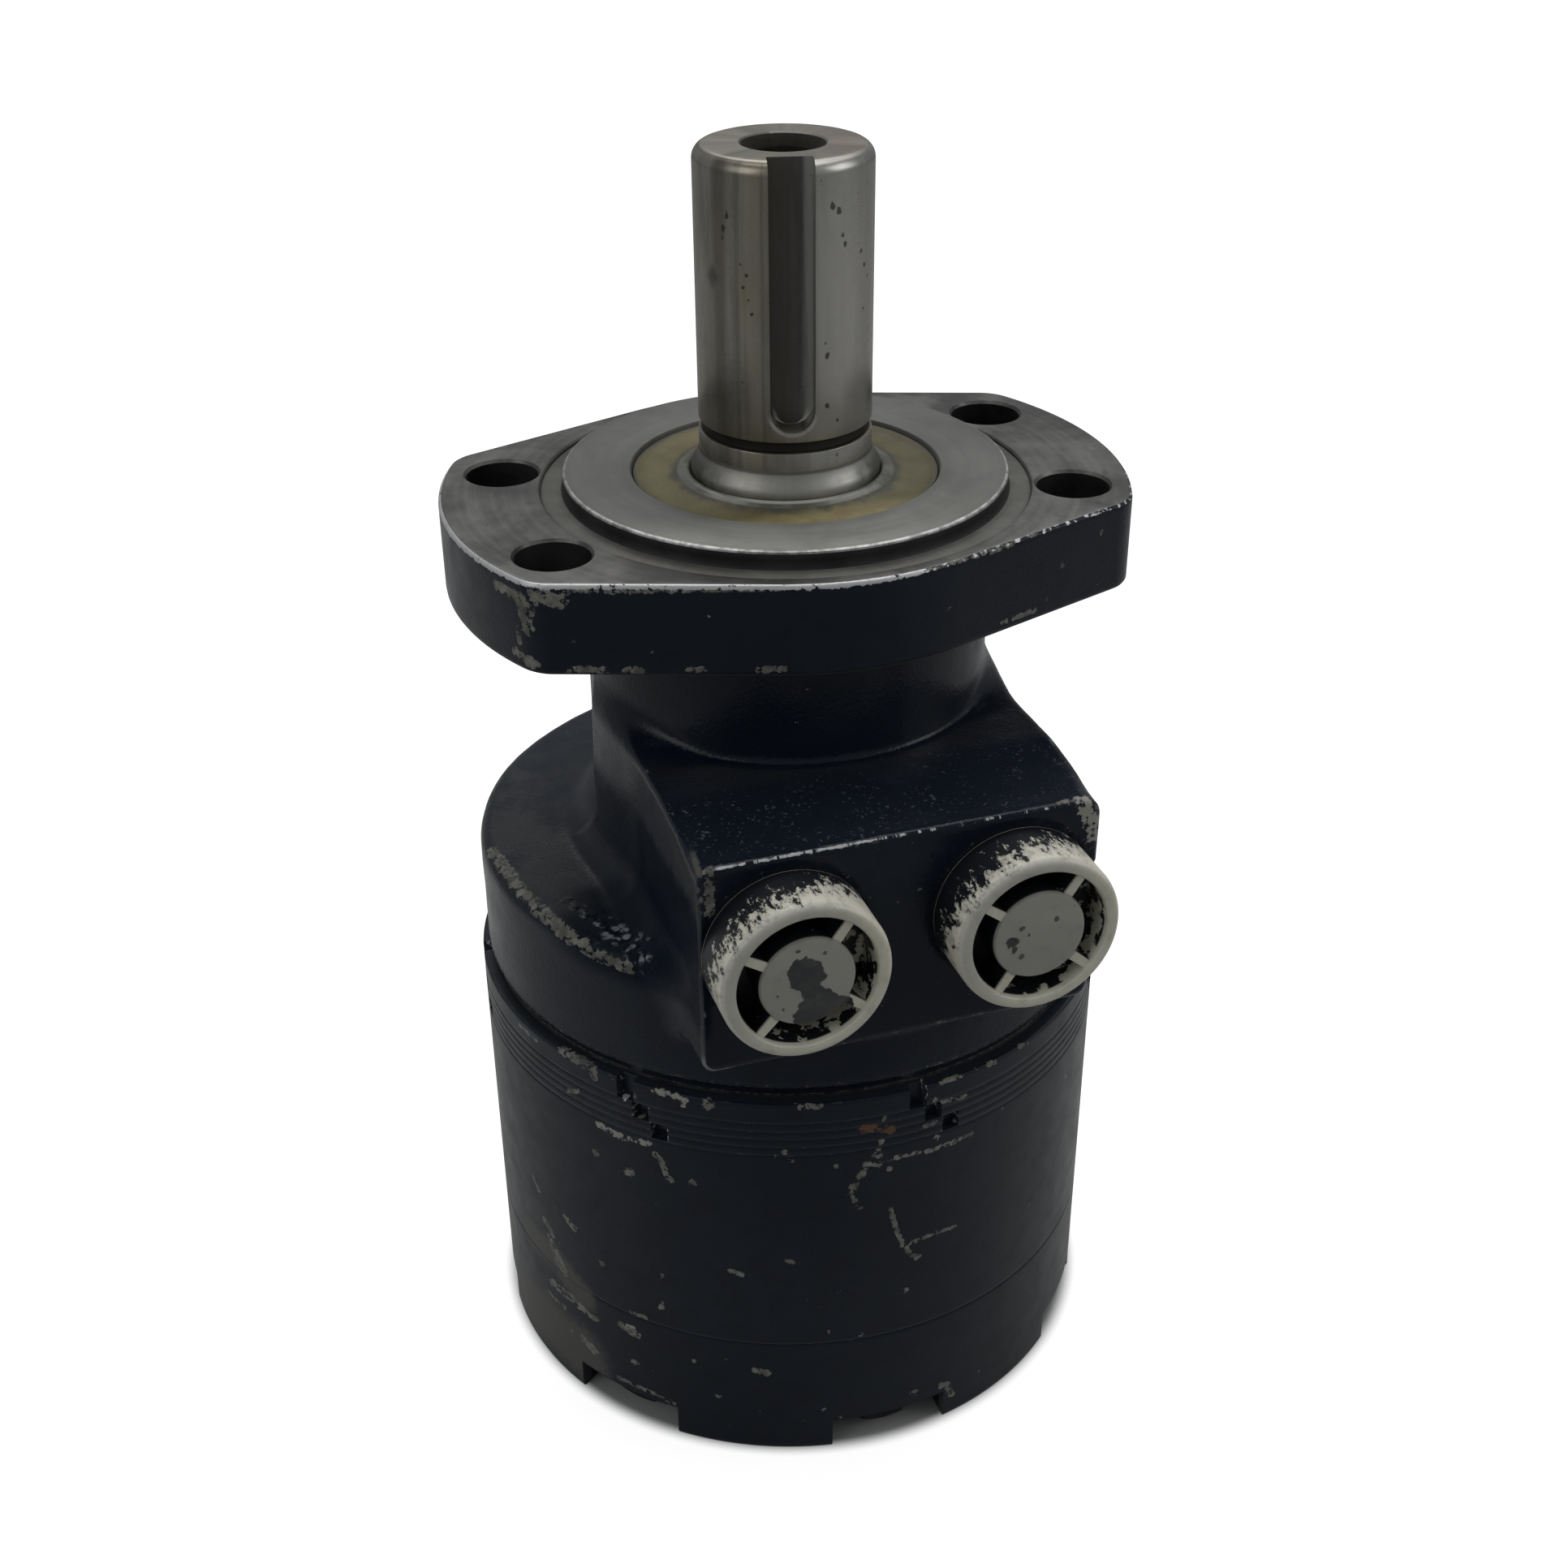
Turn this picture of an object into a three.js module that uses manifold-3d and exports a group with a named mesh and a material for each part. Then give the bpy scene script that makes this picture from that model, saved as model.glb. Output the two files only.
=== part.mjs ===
// Orbital hydraulic motor with a four-hole flange, keyed shaft, side ports and a bolted geroler stack.
// Millimetres. +Z runs up the output shaft, +X along the flange's long axis, -Y out of the port face.
// The origin is the centre of the end cover's rear face.
import * as THREE from "three";
import { mergeVertices } from "three/addons/utils/BufferGeometryUtils.js";
import Module from "manifold-3d";

const wasm = await Module();
wasm.setup();

// ---- driving dimensions ----
// heights of the stack
const Z_COVER = 29; // end cover top, stator bottom
const Z_STATOR = 77; // stator top
const Z_PLATES = [77, 78.85, 80.7, 82.55, 84.4]; // manifold plates 4, 3, 2, 1
const Z_PORT_PLATE = 89; // port plate top, housing bottom
const Z_DRUM = 116.3;
const Z_FLANGE_LOW = 169.3;
const Z_FLANGE = 186.3;
const Z_PILOT = 189.3;
const Z_SHAFT = 247.3;
// round sizes
const R_BODY = 63.5;
const R_DRUM = 62;
const R_UNDERCUT = 60.8;
const Z_UNDERCUT = 91.5;
const R_NECK = 38.3;
const R_PILOT = 41.25;
const R_RELIEF = 45.5;
const R_SEAL_RECESS = 28.5;
// flange
const FLANGE_END_R = 64;
const FLANGE_MID_R = 48.5;
const FLANGE_TANGENT_DEG = 70;
const FLANGE_CORNER_R = 8;
const FLANGE_BC_R = 53.2;
const FLANGE_HOLE_R = 6.75;
const FLANGE_HOLE_DEG = 22.5;
// port block
const BLOCK_X = 37.3;
const BLOCK_Y = -63;
const BLOCK_Z = [102.3, 144.8];
const BLOCK_CORNER = 3;
const PORT_X = 21.5;
const PORT_Z = 126;
const PORT_R = 11;
const PORT_DEPTH = 25;
const SPOT_R = 16.2;
const SPOT_DEPTH = 0.4;
const PASSAGE_R = 4;
const PASSAGE_Y = -43;
// bolts
const BOLTS = 7;
const BOLT_BC_R = 52.5;
const BOLT_SHANK_R = 4.76;
const BOLT_HOLE_R = 5.25;
const BOLT_AF = 14.29;
const BOLT_HEAD = [1.3, 7.3];
const BOLT_TOP = 109;
const BOLT_HOLE_TOP = 112.5;
const POCKET_W = 24.5;
// geroler set
const ROLLER_BC_R = 43;
const ROLLER_R = 8.5;
const ROLLER_POCKET_R = 8.65;
const ECCENTRICITY = 3.4;
const ROTOR_GAP = 0.25;
const CHAMBER_R = 41.8;
const ROTOR_BORE_R = 13.6;
const SIDE_GAP = 0.1;
// shaft
const SHAFT_R = 15.875;
const SHAFT_SHOULDER_R = 19.2;
const SHAFT_COLLAR_R = 17.5;
const SHAFT_HEAD_R = 28;
const SHAFT_HEAD_Z = [94, 139.7];
const KEY_W = 7.94;
const KEY_DEPTH = 4.8;
const KEY_LOW_Z = 200.8;
const KEY_AZ_DEG = 13.5; // from -Y towards -X

const DEG = Math.PI / 180;
const SEG = 32;
const STEP = 360 / BOLTS;

// ---- materials ----
const paint = (hex, r = 0.5, m = 0.1) =>
  new THREE.MeshStandardMaterial({ color: hex, roughness: r, metalness: m });
const BLACK_PAINT = paint(0x23262b, 0.5, 0.2);
const STEEL = paint(0x8a8680, 0.35, 1.0);
const GROUND_STEEL = paint(0xa09c96, 0.25, 1.0);
const BRONZE = paint(0x9a7a48, 0.4, 0.9);
const BLACK_STEEL = paint(0x17181a, 0.45, 0.6);
const KHAKI_RUBBER = paint(0x6e6544, 0.55, 0.0);
const BLACK_RUBBER = paint(0x151515, 0.7, 0.0);
const IVORY_PLASTIC = paint(0xd9cfb2, 0.5, 0.0);

// ---- helpers ----
const polar = (r, deg) => [r * Math.cos(deg * DEG), r * Math.sin(deg * DEG)];

// a closed solid from an indexed triangle list, turned outward if it isn't
function solidFrom(positions, index) {
  const g = new THREE.BufferGeometry();
  g.setAttribute("position", new THREE.BufferAttribute(new Float32Array(positions), 3));
  g.setIndex(index);
  const merged = mergeVertices(g, 1e-4);
  const p = merged.attributes.position.array;
  const src = merged.index.array;
  const tri = [];
  let vol = 0;
  for (let i = 0; i < src.length; i += 3) {
    const [a, b, c] = [src[i], src[i + 1], src[i + 2]];
    if (a === b || b === c || a === c) continue;
    tri.push(a, b, c);
    const [A, B, C] = [a, b, c].map((k) => [p[3 * k], p[3 * k + 1], p[3 * k + 2]]);
    vol +=
      A[0] * (B[1] * C[2] - B[2] * C[1]) -
      A[1] * (B[0] * C[2] - B[2] * C[0]) +
      A[2] * (B[0] * C[1] - B[1] * C[0]);
  }
  if (vol < 0) for (let i = 0; i < tri.length; i += 3) [tri[i + 1], tri[i + 2]] = [tri[i + 2], tri[i + 1]];
  return new wasm.Manifold(
    new wasm.Mesh({ numProp: 3, vertProperties: new Float32Array(p), triVerts: new Uint32Array(tri) }),
  );
}

function fromGeometry(geometry, place) {
  const g = geometry.clone();
  g.deleteAttribute("normal");
  g.deleteAttribute("uv");
  const p = g.attributes.position;
  const out = [];
  for (let i = 0; i < p.count; i++) out.push(...place(p.getX(i), p.getY(i), p.getZ(i)));
  const index = g.index ? Array.from(g.index.array) : Array.from({ length: p.count }, (_, i) => i);
  return solidFrom(out, index);
}

// a lathe about +Z from [r, z] points; the profile closes on itself or runs from axis to axis
function lathe(profile, segments = SEG) {
  const pts = profile.map(([r, z]) => new THREE.Vector2(r, z));
  if (profile[0][0] > 1e-9) pts.push(pts[0].clone());
  const g = new THREE.LatheGeometry(pts, segments);
  return fromGeometry(g, (x, y, z) => [x, -z, y]);
}

// an outline in X and Y with holes, between two heights
function prism(outline, z0, z1, holes = []) {
  const shape = new THREE.Shape(outline.map(([x, y]) => new THREE.Vector2(x, y)));
  for (const h of holes) shape.holes.push(new THREE.Path(h.map(([x, y]) => new THREE.Vector2(x, y))));
  const g = new THREE.ExtrudeGeometry(shape, { depth: 1, bevelEnabled: false, steps: 1 });
  return fromGeometry(g, (x, y, z) => [x, y, z < 0.5 ? z0 : z1]);
}

// the same, with the outline in X and Z and the depth along Y
function prismY(outline, y0, y1) {
  const shape = new THREE.Shape(outline.map(([x, z]) => new THREE.Vector2(x, z)));
  const g = new THREE.ExtrudeGeometry(shape, { depth: 1, bevelEnabled: false, steps: 1 });
  return fromGeometry(g, (x, z, d) => [x, d < 0.5 ? y0 : y1, z]);
}

const circle = (cx, cy, r, n, from = 0) =>
  Array.from({ length: n }, (_, i) => {
    const [x, y] = polar(r, from + (360 * i) / n);
    return [cx + x, cy + y];
  });

const arc = (cx, cy, r, a0, a1, n) =>
  Array.from({ length: n + 1 }, (_, i) => {
    const [x, y] = polar(r, a0 + ((a1 - a0) * i) / n);
    return [cx + x, cy + y];
  });

const boltAngle = (k) => -90 + k * STEP;
const boltAt = (k) => polar(BOLT_BC_R, boltAngle(k));
const boltHoles = (n = 8) => Array.from({ length: BOLTS }, (_, k) => circle(...boltAt(k), BOLT_HOLE_R, n));

const union = (list) => list.reduce((a, b) => a.add(b));

const root = new THREE.Group();
function put(name, solid, material) {
  const m = solid.getMesh();
  const g = new THREE.BufferGeometry();
  g.setAttribute("position", new THREE.BufferAttribute(new Float32Array(m.vertProperties), 3));
  g.setIndex(Array.from(m.triVerts));
  g.computeVertexNormals();
  const mesh = new THREE.Mesh(g, material);
  mesh.name = name;
  root.add(mesh);
}

// ---- housing ----
function flangeOutline() {
  const d = FLANGE_CORNER_R;
  const off = Math.acos((FLANGE_MID_R - d) / (FLANGE_END_R - d)) / DEG;
  const a = FLANGE_TANGENT_DEG - off;
  const c = polar(FLANGE_END_R - d, a);
  const quarter = [
    ...arc(0, 0, FLANGE_END_R, 0, a, 5),
    ...arc(...c, d, a, FLANGE_TANGENT_DEG, 3).slice(1),
    ...arc(0, 0, FLANGE_MID_R, FLANGE_TANGENT_DEG, 90, 3),
  ];
  const upperLeft = quarter.slice(0, -1).reverse().map(([x, y]) => [-x, y]);
  const upper = [...quarter, ...upperLeft];
  const lower = upper.slice(1, -1).reverse().map(([x, y]) => [x, -y]);
  return [...upper, ...lower];
}

const drum = lathe([
  [0, Z_PORT_PLATE],
  [R_UNDERCUT, Z_PORT_PLATE],
  [R_UNDERCUT, Z_UNDERCUT],
  [R_DRUM, Z_UNDERCUT + 0.8],
  [R_DRUM, Z_DRUM - 3],
  [R_DRUM - 0.9, Z_DRUM - 0.9],
  [R_DRUM - 3, Z_DRUM],
  [0, Z_DRUM],
], 48);
const neck = lathe([
  [0, Z_DRUM - 4],
  [49, Z_DRUM - 4],
  [49, Z_DRUM],
  [44.2, Z_DRUM + 1.6],
  [41, Z_DRUM + 4.6],
  [39, Z_DRUM + 8.6],
  [R_NECK, Z_DRUM + 13],
  [R_NECK, Z_FLANGE_LOW - 3],
  [R_NECK + 3, Z_FLANGE_LOW + 0.5],
  [0, Z_FLANGE_LOW + 0.5],
], 40);
const bx = BLOCK_X, bc = BLOCK_CORNER, bz = BLOCK_Z;
const block = prismY(
  [
    ...arc(bx - bc, bz[1] - bc, bc, 0, 90, 2),
    ...arc(-bx + bc, bz[1] - bc, bc, 90, 180, 2),
    ...arc(-bx + bc, bz[0] + bc, bc, 180, 270, 2),
    ...arc(bx - bc, bz[0] + bc, bc, 270, 360, 2),
  ],
  BLOCK_Y,
  -5,
);
const blockFlare = lathe([
  [0, bz[1] - 2],
  [43, bz[1] - 2],
  [43, bz[1]],
  [40.2, bz[1] + 1.4],
  [38.8, bz[1] + 4],
  [R_NECK, bz[1] + 7],
  [0, bz[1] + 7],
], 40).intersect(prism([[-bx + bc, -60], [bx - bc, -60], [bx - bc, -5], [-bx + bc, -5]], bz[1] - 5, bz[1] + 10));
const flange = prism(flangeOutline(), Z_FLANGE_LOW, Z_FLANGE);
const pilot = lathe([
  [0, Z_FLANGE - 2],
  [R_PILOT, Z_FLANGE - 2],
  [R_PILOT, Z_PILOT - 0.5],
  [R_PILOT - 0.5, Z_PILOT],
  [0, Z_PILOT],
], 40);

const relief = lathe([
  [R_PILOT, Z_FLANGE - 0.5],
  [R_RELIEF, Z_FLANGE - 0.5],
  [R_RELIEF, Z_FLANGE + 1],
  [R_PILOT, Z_FLANGE + 1],
], 40);
const innerBore = lathe([
  [0, Z_PORT_PLATE - 5],
  [33, Z_PORT_PLATE - 5],
  [33, 146],
  [24.5, 146],
  [24.5, 173.5],
  [R_SEAL_RECESS, 173.5],
  [R_SEAL_RECESS, Z_PILOT - 0.6],
  [R_SEAL_RECESS + 0.6, Z_PILOT],
  [R_SEAL_RECESS + 0.6, Z_PILOT + 5],
  [0, Z_PILOT + 5],
]);
const flangeHoles = [1, -1, 180 / FLANGE_HOLE_DEG - 1, 180 / FLANGE_HOLE_DEG + 1].map((m) =>
  prism(circle(...polar(FLANGE_BC_R, m * FLANGE_HOLE_DEG), FLANGE_HOLE_R, 12), Z_FLANGE_LOW - 5, Z_FLANGE + 5),
);
const threads = Array.from({ length: BOLTS }, (_, k) =>
  prism(circle(...boltAt(k), BOLT_HOLE_R, 8), Z_PORT_PLATE - 5, BOLT_HOLE_TOP),
);
const ports = [-1, 1].flatMap((s) => [
  prismY(circle(s * PORT_X, PORT_Z, PORT_R, 16), BLOCK_Y - 5, BLOCK_Y + PORT_DEPTH),
  prismY(circle(s * PORT_X, PORT_Z, SPOT_R, 20), BLOCK_Y - 5, BLOCK_Y + SPOT_DEPTH),
  prism(circle(s * PORT_X, PASSAGE_Y, PASSAGE_R, 8), Z_PORT_PLATE - 5, PORT_Z - 6),
]);
let housing = union([drum, neck, block, blockFlare, flange]).subtract(relief).add(pilot);
for (const cut of [innerBore, ...flangeHoles, ...threads, ...ports]) housing = housing.subtract(cut);
put("housing", housing, BLACK_PAINT);

// ---- shaft group ----
const keyDir = [-Math.sin(KEY_AZ_DEG * DEG), -Math.cos(KEY_AZ_DEG * DEG)];
let shaft = lathe([
  [0, SHAFT_HEAD_Z[0] + 34],
  [14, SHAFT_HEAD_Z[0] + 34],
  [14, SHAFT_HEAD_Z[0]],
  [SHAFT_HEAD_R, SHAFT_HEAD_Z[0]],
  [SHAFT_HEAD_R, SHAFT_HEAD_Z[1]],
  [SHAFT_SHOULDER_R, SHAFT_HEAD_Z[1]],
  [SHAFT_SHOULDER_R, 183.2],
  [SHAFT_COLLAR_R, 184],
  [SHAFT_COLLAR_R, 190.9],
  [17, 192.3],
  [SHAFT_R, 193.6],
  [SHAFT_R, 196.9],
  [15, 197.1],
  [15, 198.8],
  [SHAFT_R, 199],
  [SHAFT_R, Z_SHAFT - 1.5],
  [SHAFT_R - 1.5, Z_SHAFT],
  [7.5, Z_SHAFT],
  [5.5, Z_SHAFT - 2],
  [5.5, Z_SHAFT - 26],
  [0, Z_SHAFT - 29],
]);
{
  const h = KEY_W / 2;
  const low = KEY_LOW_Z;
  // the slot's outline across the width and up the shaft, rounded at its low end
  const outline = [
    [h, Z_SHAFT + 3],
    [-h, Z_SHAFT + 3],
    ...arc(0, low + h, h, 180, 360, 8),
  ];
  const shape = new THREE.Shape(outline.map(([u, v]) => new THREE.Vector2(u, v)));
  const g = new THREE.ExtrudeGeometry(shape, { depth: 1, bevelEnabled: false, steps: 1 });
  const floor = SHAFT_R - KEY_DEPTH;
  const slot = fromGeometry(g, (u, v, d) => {
    const w = d < 0.5 ? floor : SHAFT_R + 4;
    return [keyDir[0] * w - keyDir[1] * u, keyDir[1] * w + keyDir[0] * u, v];
  });
  shaft = shaft.subtract(slot);
}
put("output_shaft", shaft, GROUND_STEEL);

// ---- seals and bearings around the shaft ----
put("dust_seal", lathe([
  [17.9, 186.6],
  [17.9, 188.5],
  [18.8, 189.1],
  [21.6, 188],
  [25.6, 187.6],
  [28.3, 188.5],
  [28.3, 183.9],
  [21.5, 183.9],
], 28), KHAKI_RUBBER);
const ring = (r0, r1, z0, z1, seg = 28) => lathe([[r0, z0], [r1, z0], [r1, z1], [r0, z1]], seg);
put("seal_backup_washer", ring(20, 28.3, 181.7, 183.7), STEEL);
put("shaft_seal", lathe([
  [19.5, 177.2],
  [19.5, 178.6],
  [21.5, 181.5],
  [28.3, 181.5],
  [28.3, 173.7],
  [22.5, 173.7],
  [22.5, 176.2],
], 28), BLACK_RUBBER);
put("front_bearing", ring(19.35, 24.2, 147, 173.2), BRONZE);
put("thrust_washer", ring(20, 32.6, 143.2, 145.9), STEEL);
put("thrust_bearing", ring(20, 32.2, 140, 143), GROUND_STEEL);
put("rear_bearing", ring(28.3, 32.7, 97, 121), BRONZE);

// ---- drive link: crowned at both ends and tilted towards the rotor's centre ----
{
  const top = 112, low = 53;
  const link = lathe([
    [0, 33],
    [9.6, 33],
    [11.6, 36],
    [12.3, 53],
    [11.6, 70],
    [8.6, 75],
    [8.6, 98],
    [12, 102],
    [12.7, 112],
    [12, 122],
    [10, 125],
    [0, 125],
  ], 16);
  const tilt = Math.atan2(ECCENTRICITY, top - low);
  const m = new THREE.Matrix4()
    .makeTranslation(0, 0, top)
    .multiply(new THREE.Matrix4().makeRotationX(-tilt))
    .multiply(new THREE.Matrix4().makeTranslation(0, 0, -top));
  const mesh = link.getMesh();
  const out = [];
  const v = new THREE.Vector3();
  for (let i = 0; i < mesh.vertProperties.length; i += 3) {
    v.set(mesh.vertProperties[i], mesh.vertProperties[i + 1], mesh.vertProperties[i + 2]).applyMatrix4(m);
    out.push(v.x, v.y, v.z);
  }
  put("drive_link", solidFrom(out, Array.from(mesh.triVerts)), STEEL);
}

// ---- plates ----
function notchedOutline(firstDeg, notchDeg = 3.0, depth = 2) {
  // seven small notches in the rim, the first at firstDeg from -Y towards +X
  const pts = [];
  for (let k = 0; k < BOLTS; k++) {
    const c = -90 + firstDeg + k * STEP;
    pts.push(polar(R_BODY, c - notchDeg / 2), polar(R_BODY - depth, c - notchDeg / 2 + 0.2));
    pts.push(polar(R_BODY - depth, c + notchDeg / 2 - 0.2));
    const a0 = c + notchDeg / 2;
    const a1 = c + STEP - notchDeg / 2;
    for (let i = 0; i < 6; i++) pts.push(polar(R_BODY, a0 + ((a1 - a0) * i) / 6));
  }
  return pts;
}
const SEAL_R = [58.4, 60.4];
const SEAL_DEPTH = 1.6;
const sealGroove = (z) => ring(SEAL_R[0], SEAL_R[1], z - SEAL_DEPTH, z + 2, 40);
const sealRing = (z) => ring(SEAL_R[0] + 0.15, SEAL_R[1] - 0.15, z - SEAL_DEPTH + 0.1, z - 0.05, 40);

const passageHoles = [-1, 1].map((s) => circle(s * PORT_X, PASSAGE_Y, PASSAGE_R, 8));
const windows = Array.from({ length: BOLTS }, (_, k) => circle(...polar(36, boltAngle(k)), 3.2, 6));
put(
  "port_plate",
  prism(notchedOutline(3.6), Z_PLATES[4], Z_PORT_PLATE, [circle(0, 0, 17, 16), ...boltHoles(), ...passageHoles]).subtract(
    sealGroove(Z_PORT_PLATE),
  ),
  BLACK_PAINT,
);
put(
  "manifold_plate_1",
  prism(notchedOutline(6.5), Z_PLATES[3], Z_PLATES[4], [circle(0, 0, 17, 16), ...boltHoles(8), ...passageHoles]),
  BLACK_PAINT,
);
put(
  "manifold_plate_2",
  prism(notchedOutline(6.5), Z_PLATES[2], Z_PLATES[3], [circle(0, 0, 17, 16), ...boltHoles(8), ...windows]),
  BLACK_PAINT,
);
put(
  "manifold_plate_3",
  prism(notchedOutline(10), Z_PLATES[1], Z_PLATES[2], [circle(0, 0, 17, 16), ...boltHoles(8), ...windows]),
  BLACK_PAINT,
);
put(
  "manifold_plate_4",
  prism(notchedOutline(10), Z_PLATES[0], Z_PLATES[1], [circle(0, 0, 17, 16), ...boltHoles(8), ...windows]),
  BLACK_PAINT,
);

// ---- geroler set ----
const rollerAngle = (k) => -90 + STEP / 2 + k * STEP;
function chamberOutline() {
  // the chamber wall with a round pocket for each roller
  const pts = [];
  const cosHit =
    (CHAMBER_R * CHAMBER_R + ROLLER_BC_R * ROLLER_BC_R - ROLLER_POCKET_R * ROLLER_POCKET_R) /
    (2 * CHAMBER_R * ROLLER_BC_R);
  const half = Math.acos(cosHit) / DEG;
  for (let k = 0; k < BOLTS; k++) {
    const a = rollerAngle(k);
    const [cx, cy] = polar(ROLLER_BC_R, a);
    const hit = polar(CHAMBER_R, a - half);
    const start = Math.atan2(hit[1] - cy, hit[0] - cx) / DEG;
    const sweepHalf = 180 - Math.abs((((a + 180 - start) % 360) + 540) % 360 - 180);
    // the pocket runs outward round the roller, from one lip to the other
    pts.push(...arc(cx, cy, ROLLER_POCKET_R, a - sweepHalf, a + sweepHalf, 10));
    const w0 = a + half, w1 = a + STEP - half;
    for (let i = 1; i < 3; i++) pts.push(polar(CHAMBER_R, w0 + ((w1 - w0) * i) / 3));
  }
  return pts;
}
put(
  "stator_ring",
  prism(circle(0, 0, R_BODY, 48, -90), Z_COVER, Z_STATOR, [chamberOutline(), ...boltHoles()]).subtract(
    sealGroove(Z_STATOR),
  ),
  BLACK_PAINT,
);
{
  const n = 84;
  const pts = [];
  for (let i = 0; i < n; i++) {
    const t = (2 * Math.PI * i) / n;
    const x = ROLLER_BC_R * Math.cos(t) - ECCENTRICITY * Math.cos(7 * t);
    const y = ROLLER_BC_R * Math.sin(t) - ECCENTRICITY * Math.sin(7 * t);
    const dx = -ROLLER_BC_R * Math.sin(t) + 7 * ECCENTRICITY * Math.sin(7 * t);
    const dy = ROLLER_BC_R * Math.cos(t) - 7 * ECCENTRICITY * Math.cos(7 * t);
    const l = Math.hypot(dx, dy);
    const o = ROLLER_R + ROTOR_GAP;
    pts.push([x - (dy / l) * o, y + (dx / l) * o - ECCENTRICITY]);
  }
  put(
    "rotor",
    prism(pts, Z_COVER + SIDE_GAP, Z_STATOR - SIDE_GAP, [circle(0, -ECCENTRICITY, ROTOR_BORE_R, 20)]),
    GROUND_STEEL,
  );
}
for (let k = 0; k < BOLTS; k++)
  put(
    `roller_${k + 1}`,
    prism(circle(...polar(ROLLER_BC_R, rollerAngle(k)), ROLLER_R, 20), Z_COVER + SIDE_GAP, Z_STATOR - SIDE_GAP),
    GROUND_STEEL,
  );

// ---- end cover with open pockets for the bolt heads ----
{
  let cover = lathe([
    [0, 0],
    [R_BODY - 0.8, 0],
    [R_BODY, 0.8],
    [R_BODY, Z_COVER],
    [0, Z_COVER],
  ], 48);
  for (let k = 0; k < BOLTS; k++) {
    const a = boltAngle(k);
    const dir = polar(1, a);
    const nrm = [-dir[1], dir[0]];
    const at = (r, s) => [dir[0] * r + nrm[0] * s, dir[1] * r + nrm[1] * s];
    const h = POCKET_W / 2;
    const outline = [at(R_BODY + 6, -h), at(R_BODY + 6, h)];
    for (let i = 0; i <= 6; i++) {
      const b = 90 + (180 * i) / 6;
      outline.push(at(BOLT_BC_R + h * Math.cos(b * DEG), h * Math.sin(b * DEG)));
    }
    cover = cover.subtract(prism(outline, -3, BOLT_HEAD[1]));
    cover = cover.subtract(prism(circle(...boltAt(k), BOLT_HOLE_R, 8), 5, Z_COVER + 2));
  }
  cover = cover.subtract(sealGroove(Z_COVER));
  cover = cover.subtract(prism(circle(0, 0, 18, 16), Z_COVER - 3, Z_COVER + 2));
  put("end_cover", cover, BLACK_PAINT);
}
for (let k = 0; k < BOLTS; k++) {
  const [x, y] = boltAt(k);
  const head = prism(circle(x, y, BOLT_AF / 2 / Math.cos(30 * DEG), 6, boltAngle(k) + 30), ...BOLT_HEAD);
  const shank = prism(circle(x, y, BOLT_SHANK_R, 8), BOLT_HEAD[1] - 1, BOLT_TOP);
  put(`cover_bolt_${k + 1}`, head.add(shank), BLACK_STEEL);
}

// ---- section seals ----
put("section_seal_1", sealRing(Z_PORT_PLATE), BLACK_RUBBER);
put("section_seal_2", sealRing(Z_STATOR), BLACK_RUBBER);
put("section_seal_3", sealRing(Z_COVER), BLACK_RUBBER);

// ---- port plugs ----
const PLUG_FRONT = -74.5;
const PLUG_BACK = BLOCK_Y + SPOT_DEPTH - 0.1;
for (const [name, s] of [["port_plug_left", -1], ["port_plug_right", 1]]) {
  // profile as [radius, distance behind the plug's front plane]
  const d = (y) => y - PLUG_FRONT;
  const body = lathe([
    [0, 0],
    [15.5 - 2, 0],
    [15.5 - 0.6, 0.7],
    [15.5, 2.2],
    [15.5, d(PLUG_BACK)],
    [10.6, d(PLUG_BACK)],
    [10.6, d(-46)],
    [8.6, d(-45)],
    [8.2, d(-45)],
    [8.2, 3],
    [0, 3],
  ], 20);
  // the ring-shaped recess round the hub, crossed by four spokes
  let recess = ring(9.3, 12.6, -1, 8, 20);
  for (let q = 0; q < 2; q++) {
    const a = 45 + 90 * q;
    const dir = polar(1, a);
    const at = (r, t) => [dir[0] * r - dir[1] * t, dir[1] * r + dir[0] * t];
    recess = recess.subtract(prism([at(-14, -1), at(14, -1), at(14, 1), at(-14, 1)], 0.6, 9));
  }
  const made = body.subtract(recess);
  const mesh = made.getMesh();
  const out = [];
  for (let i = 0; i < mesh.vertProperties.length; i += 3) {
    const [x, y, z] = [mesh.vertProperties[i], mesh.vertProperties[i + 1], mesh.vertProperties[i + 2]];
    out.push(s * PORT_X + x, PLUG_FRONT + z, PORT_Z + y);
  }
  put(name, solidFrom(out, Array.from(mesh.triVerts)), IVORY_PLASTIC);
}

export default root;
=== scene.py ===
"""Looks of the orbital hydraulic motor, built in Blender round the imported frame. Lengths here are millimetres until mesh_object() turns them into metres."""
import math

import bmesh
import bpy
import numpy as np
from mathutils import Matrix, Vector


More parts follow.
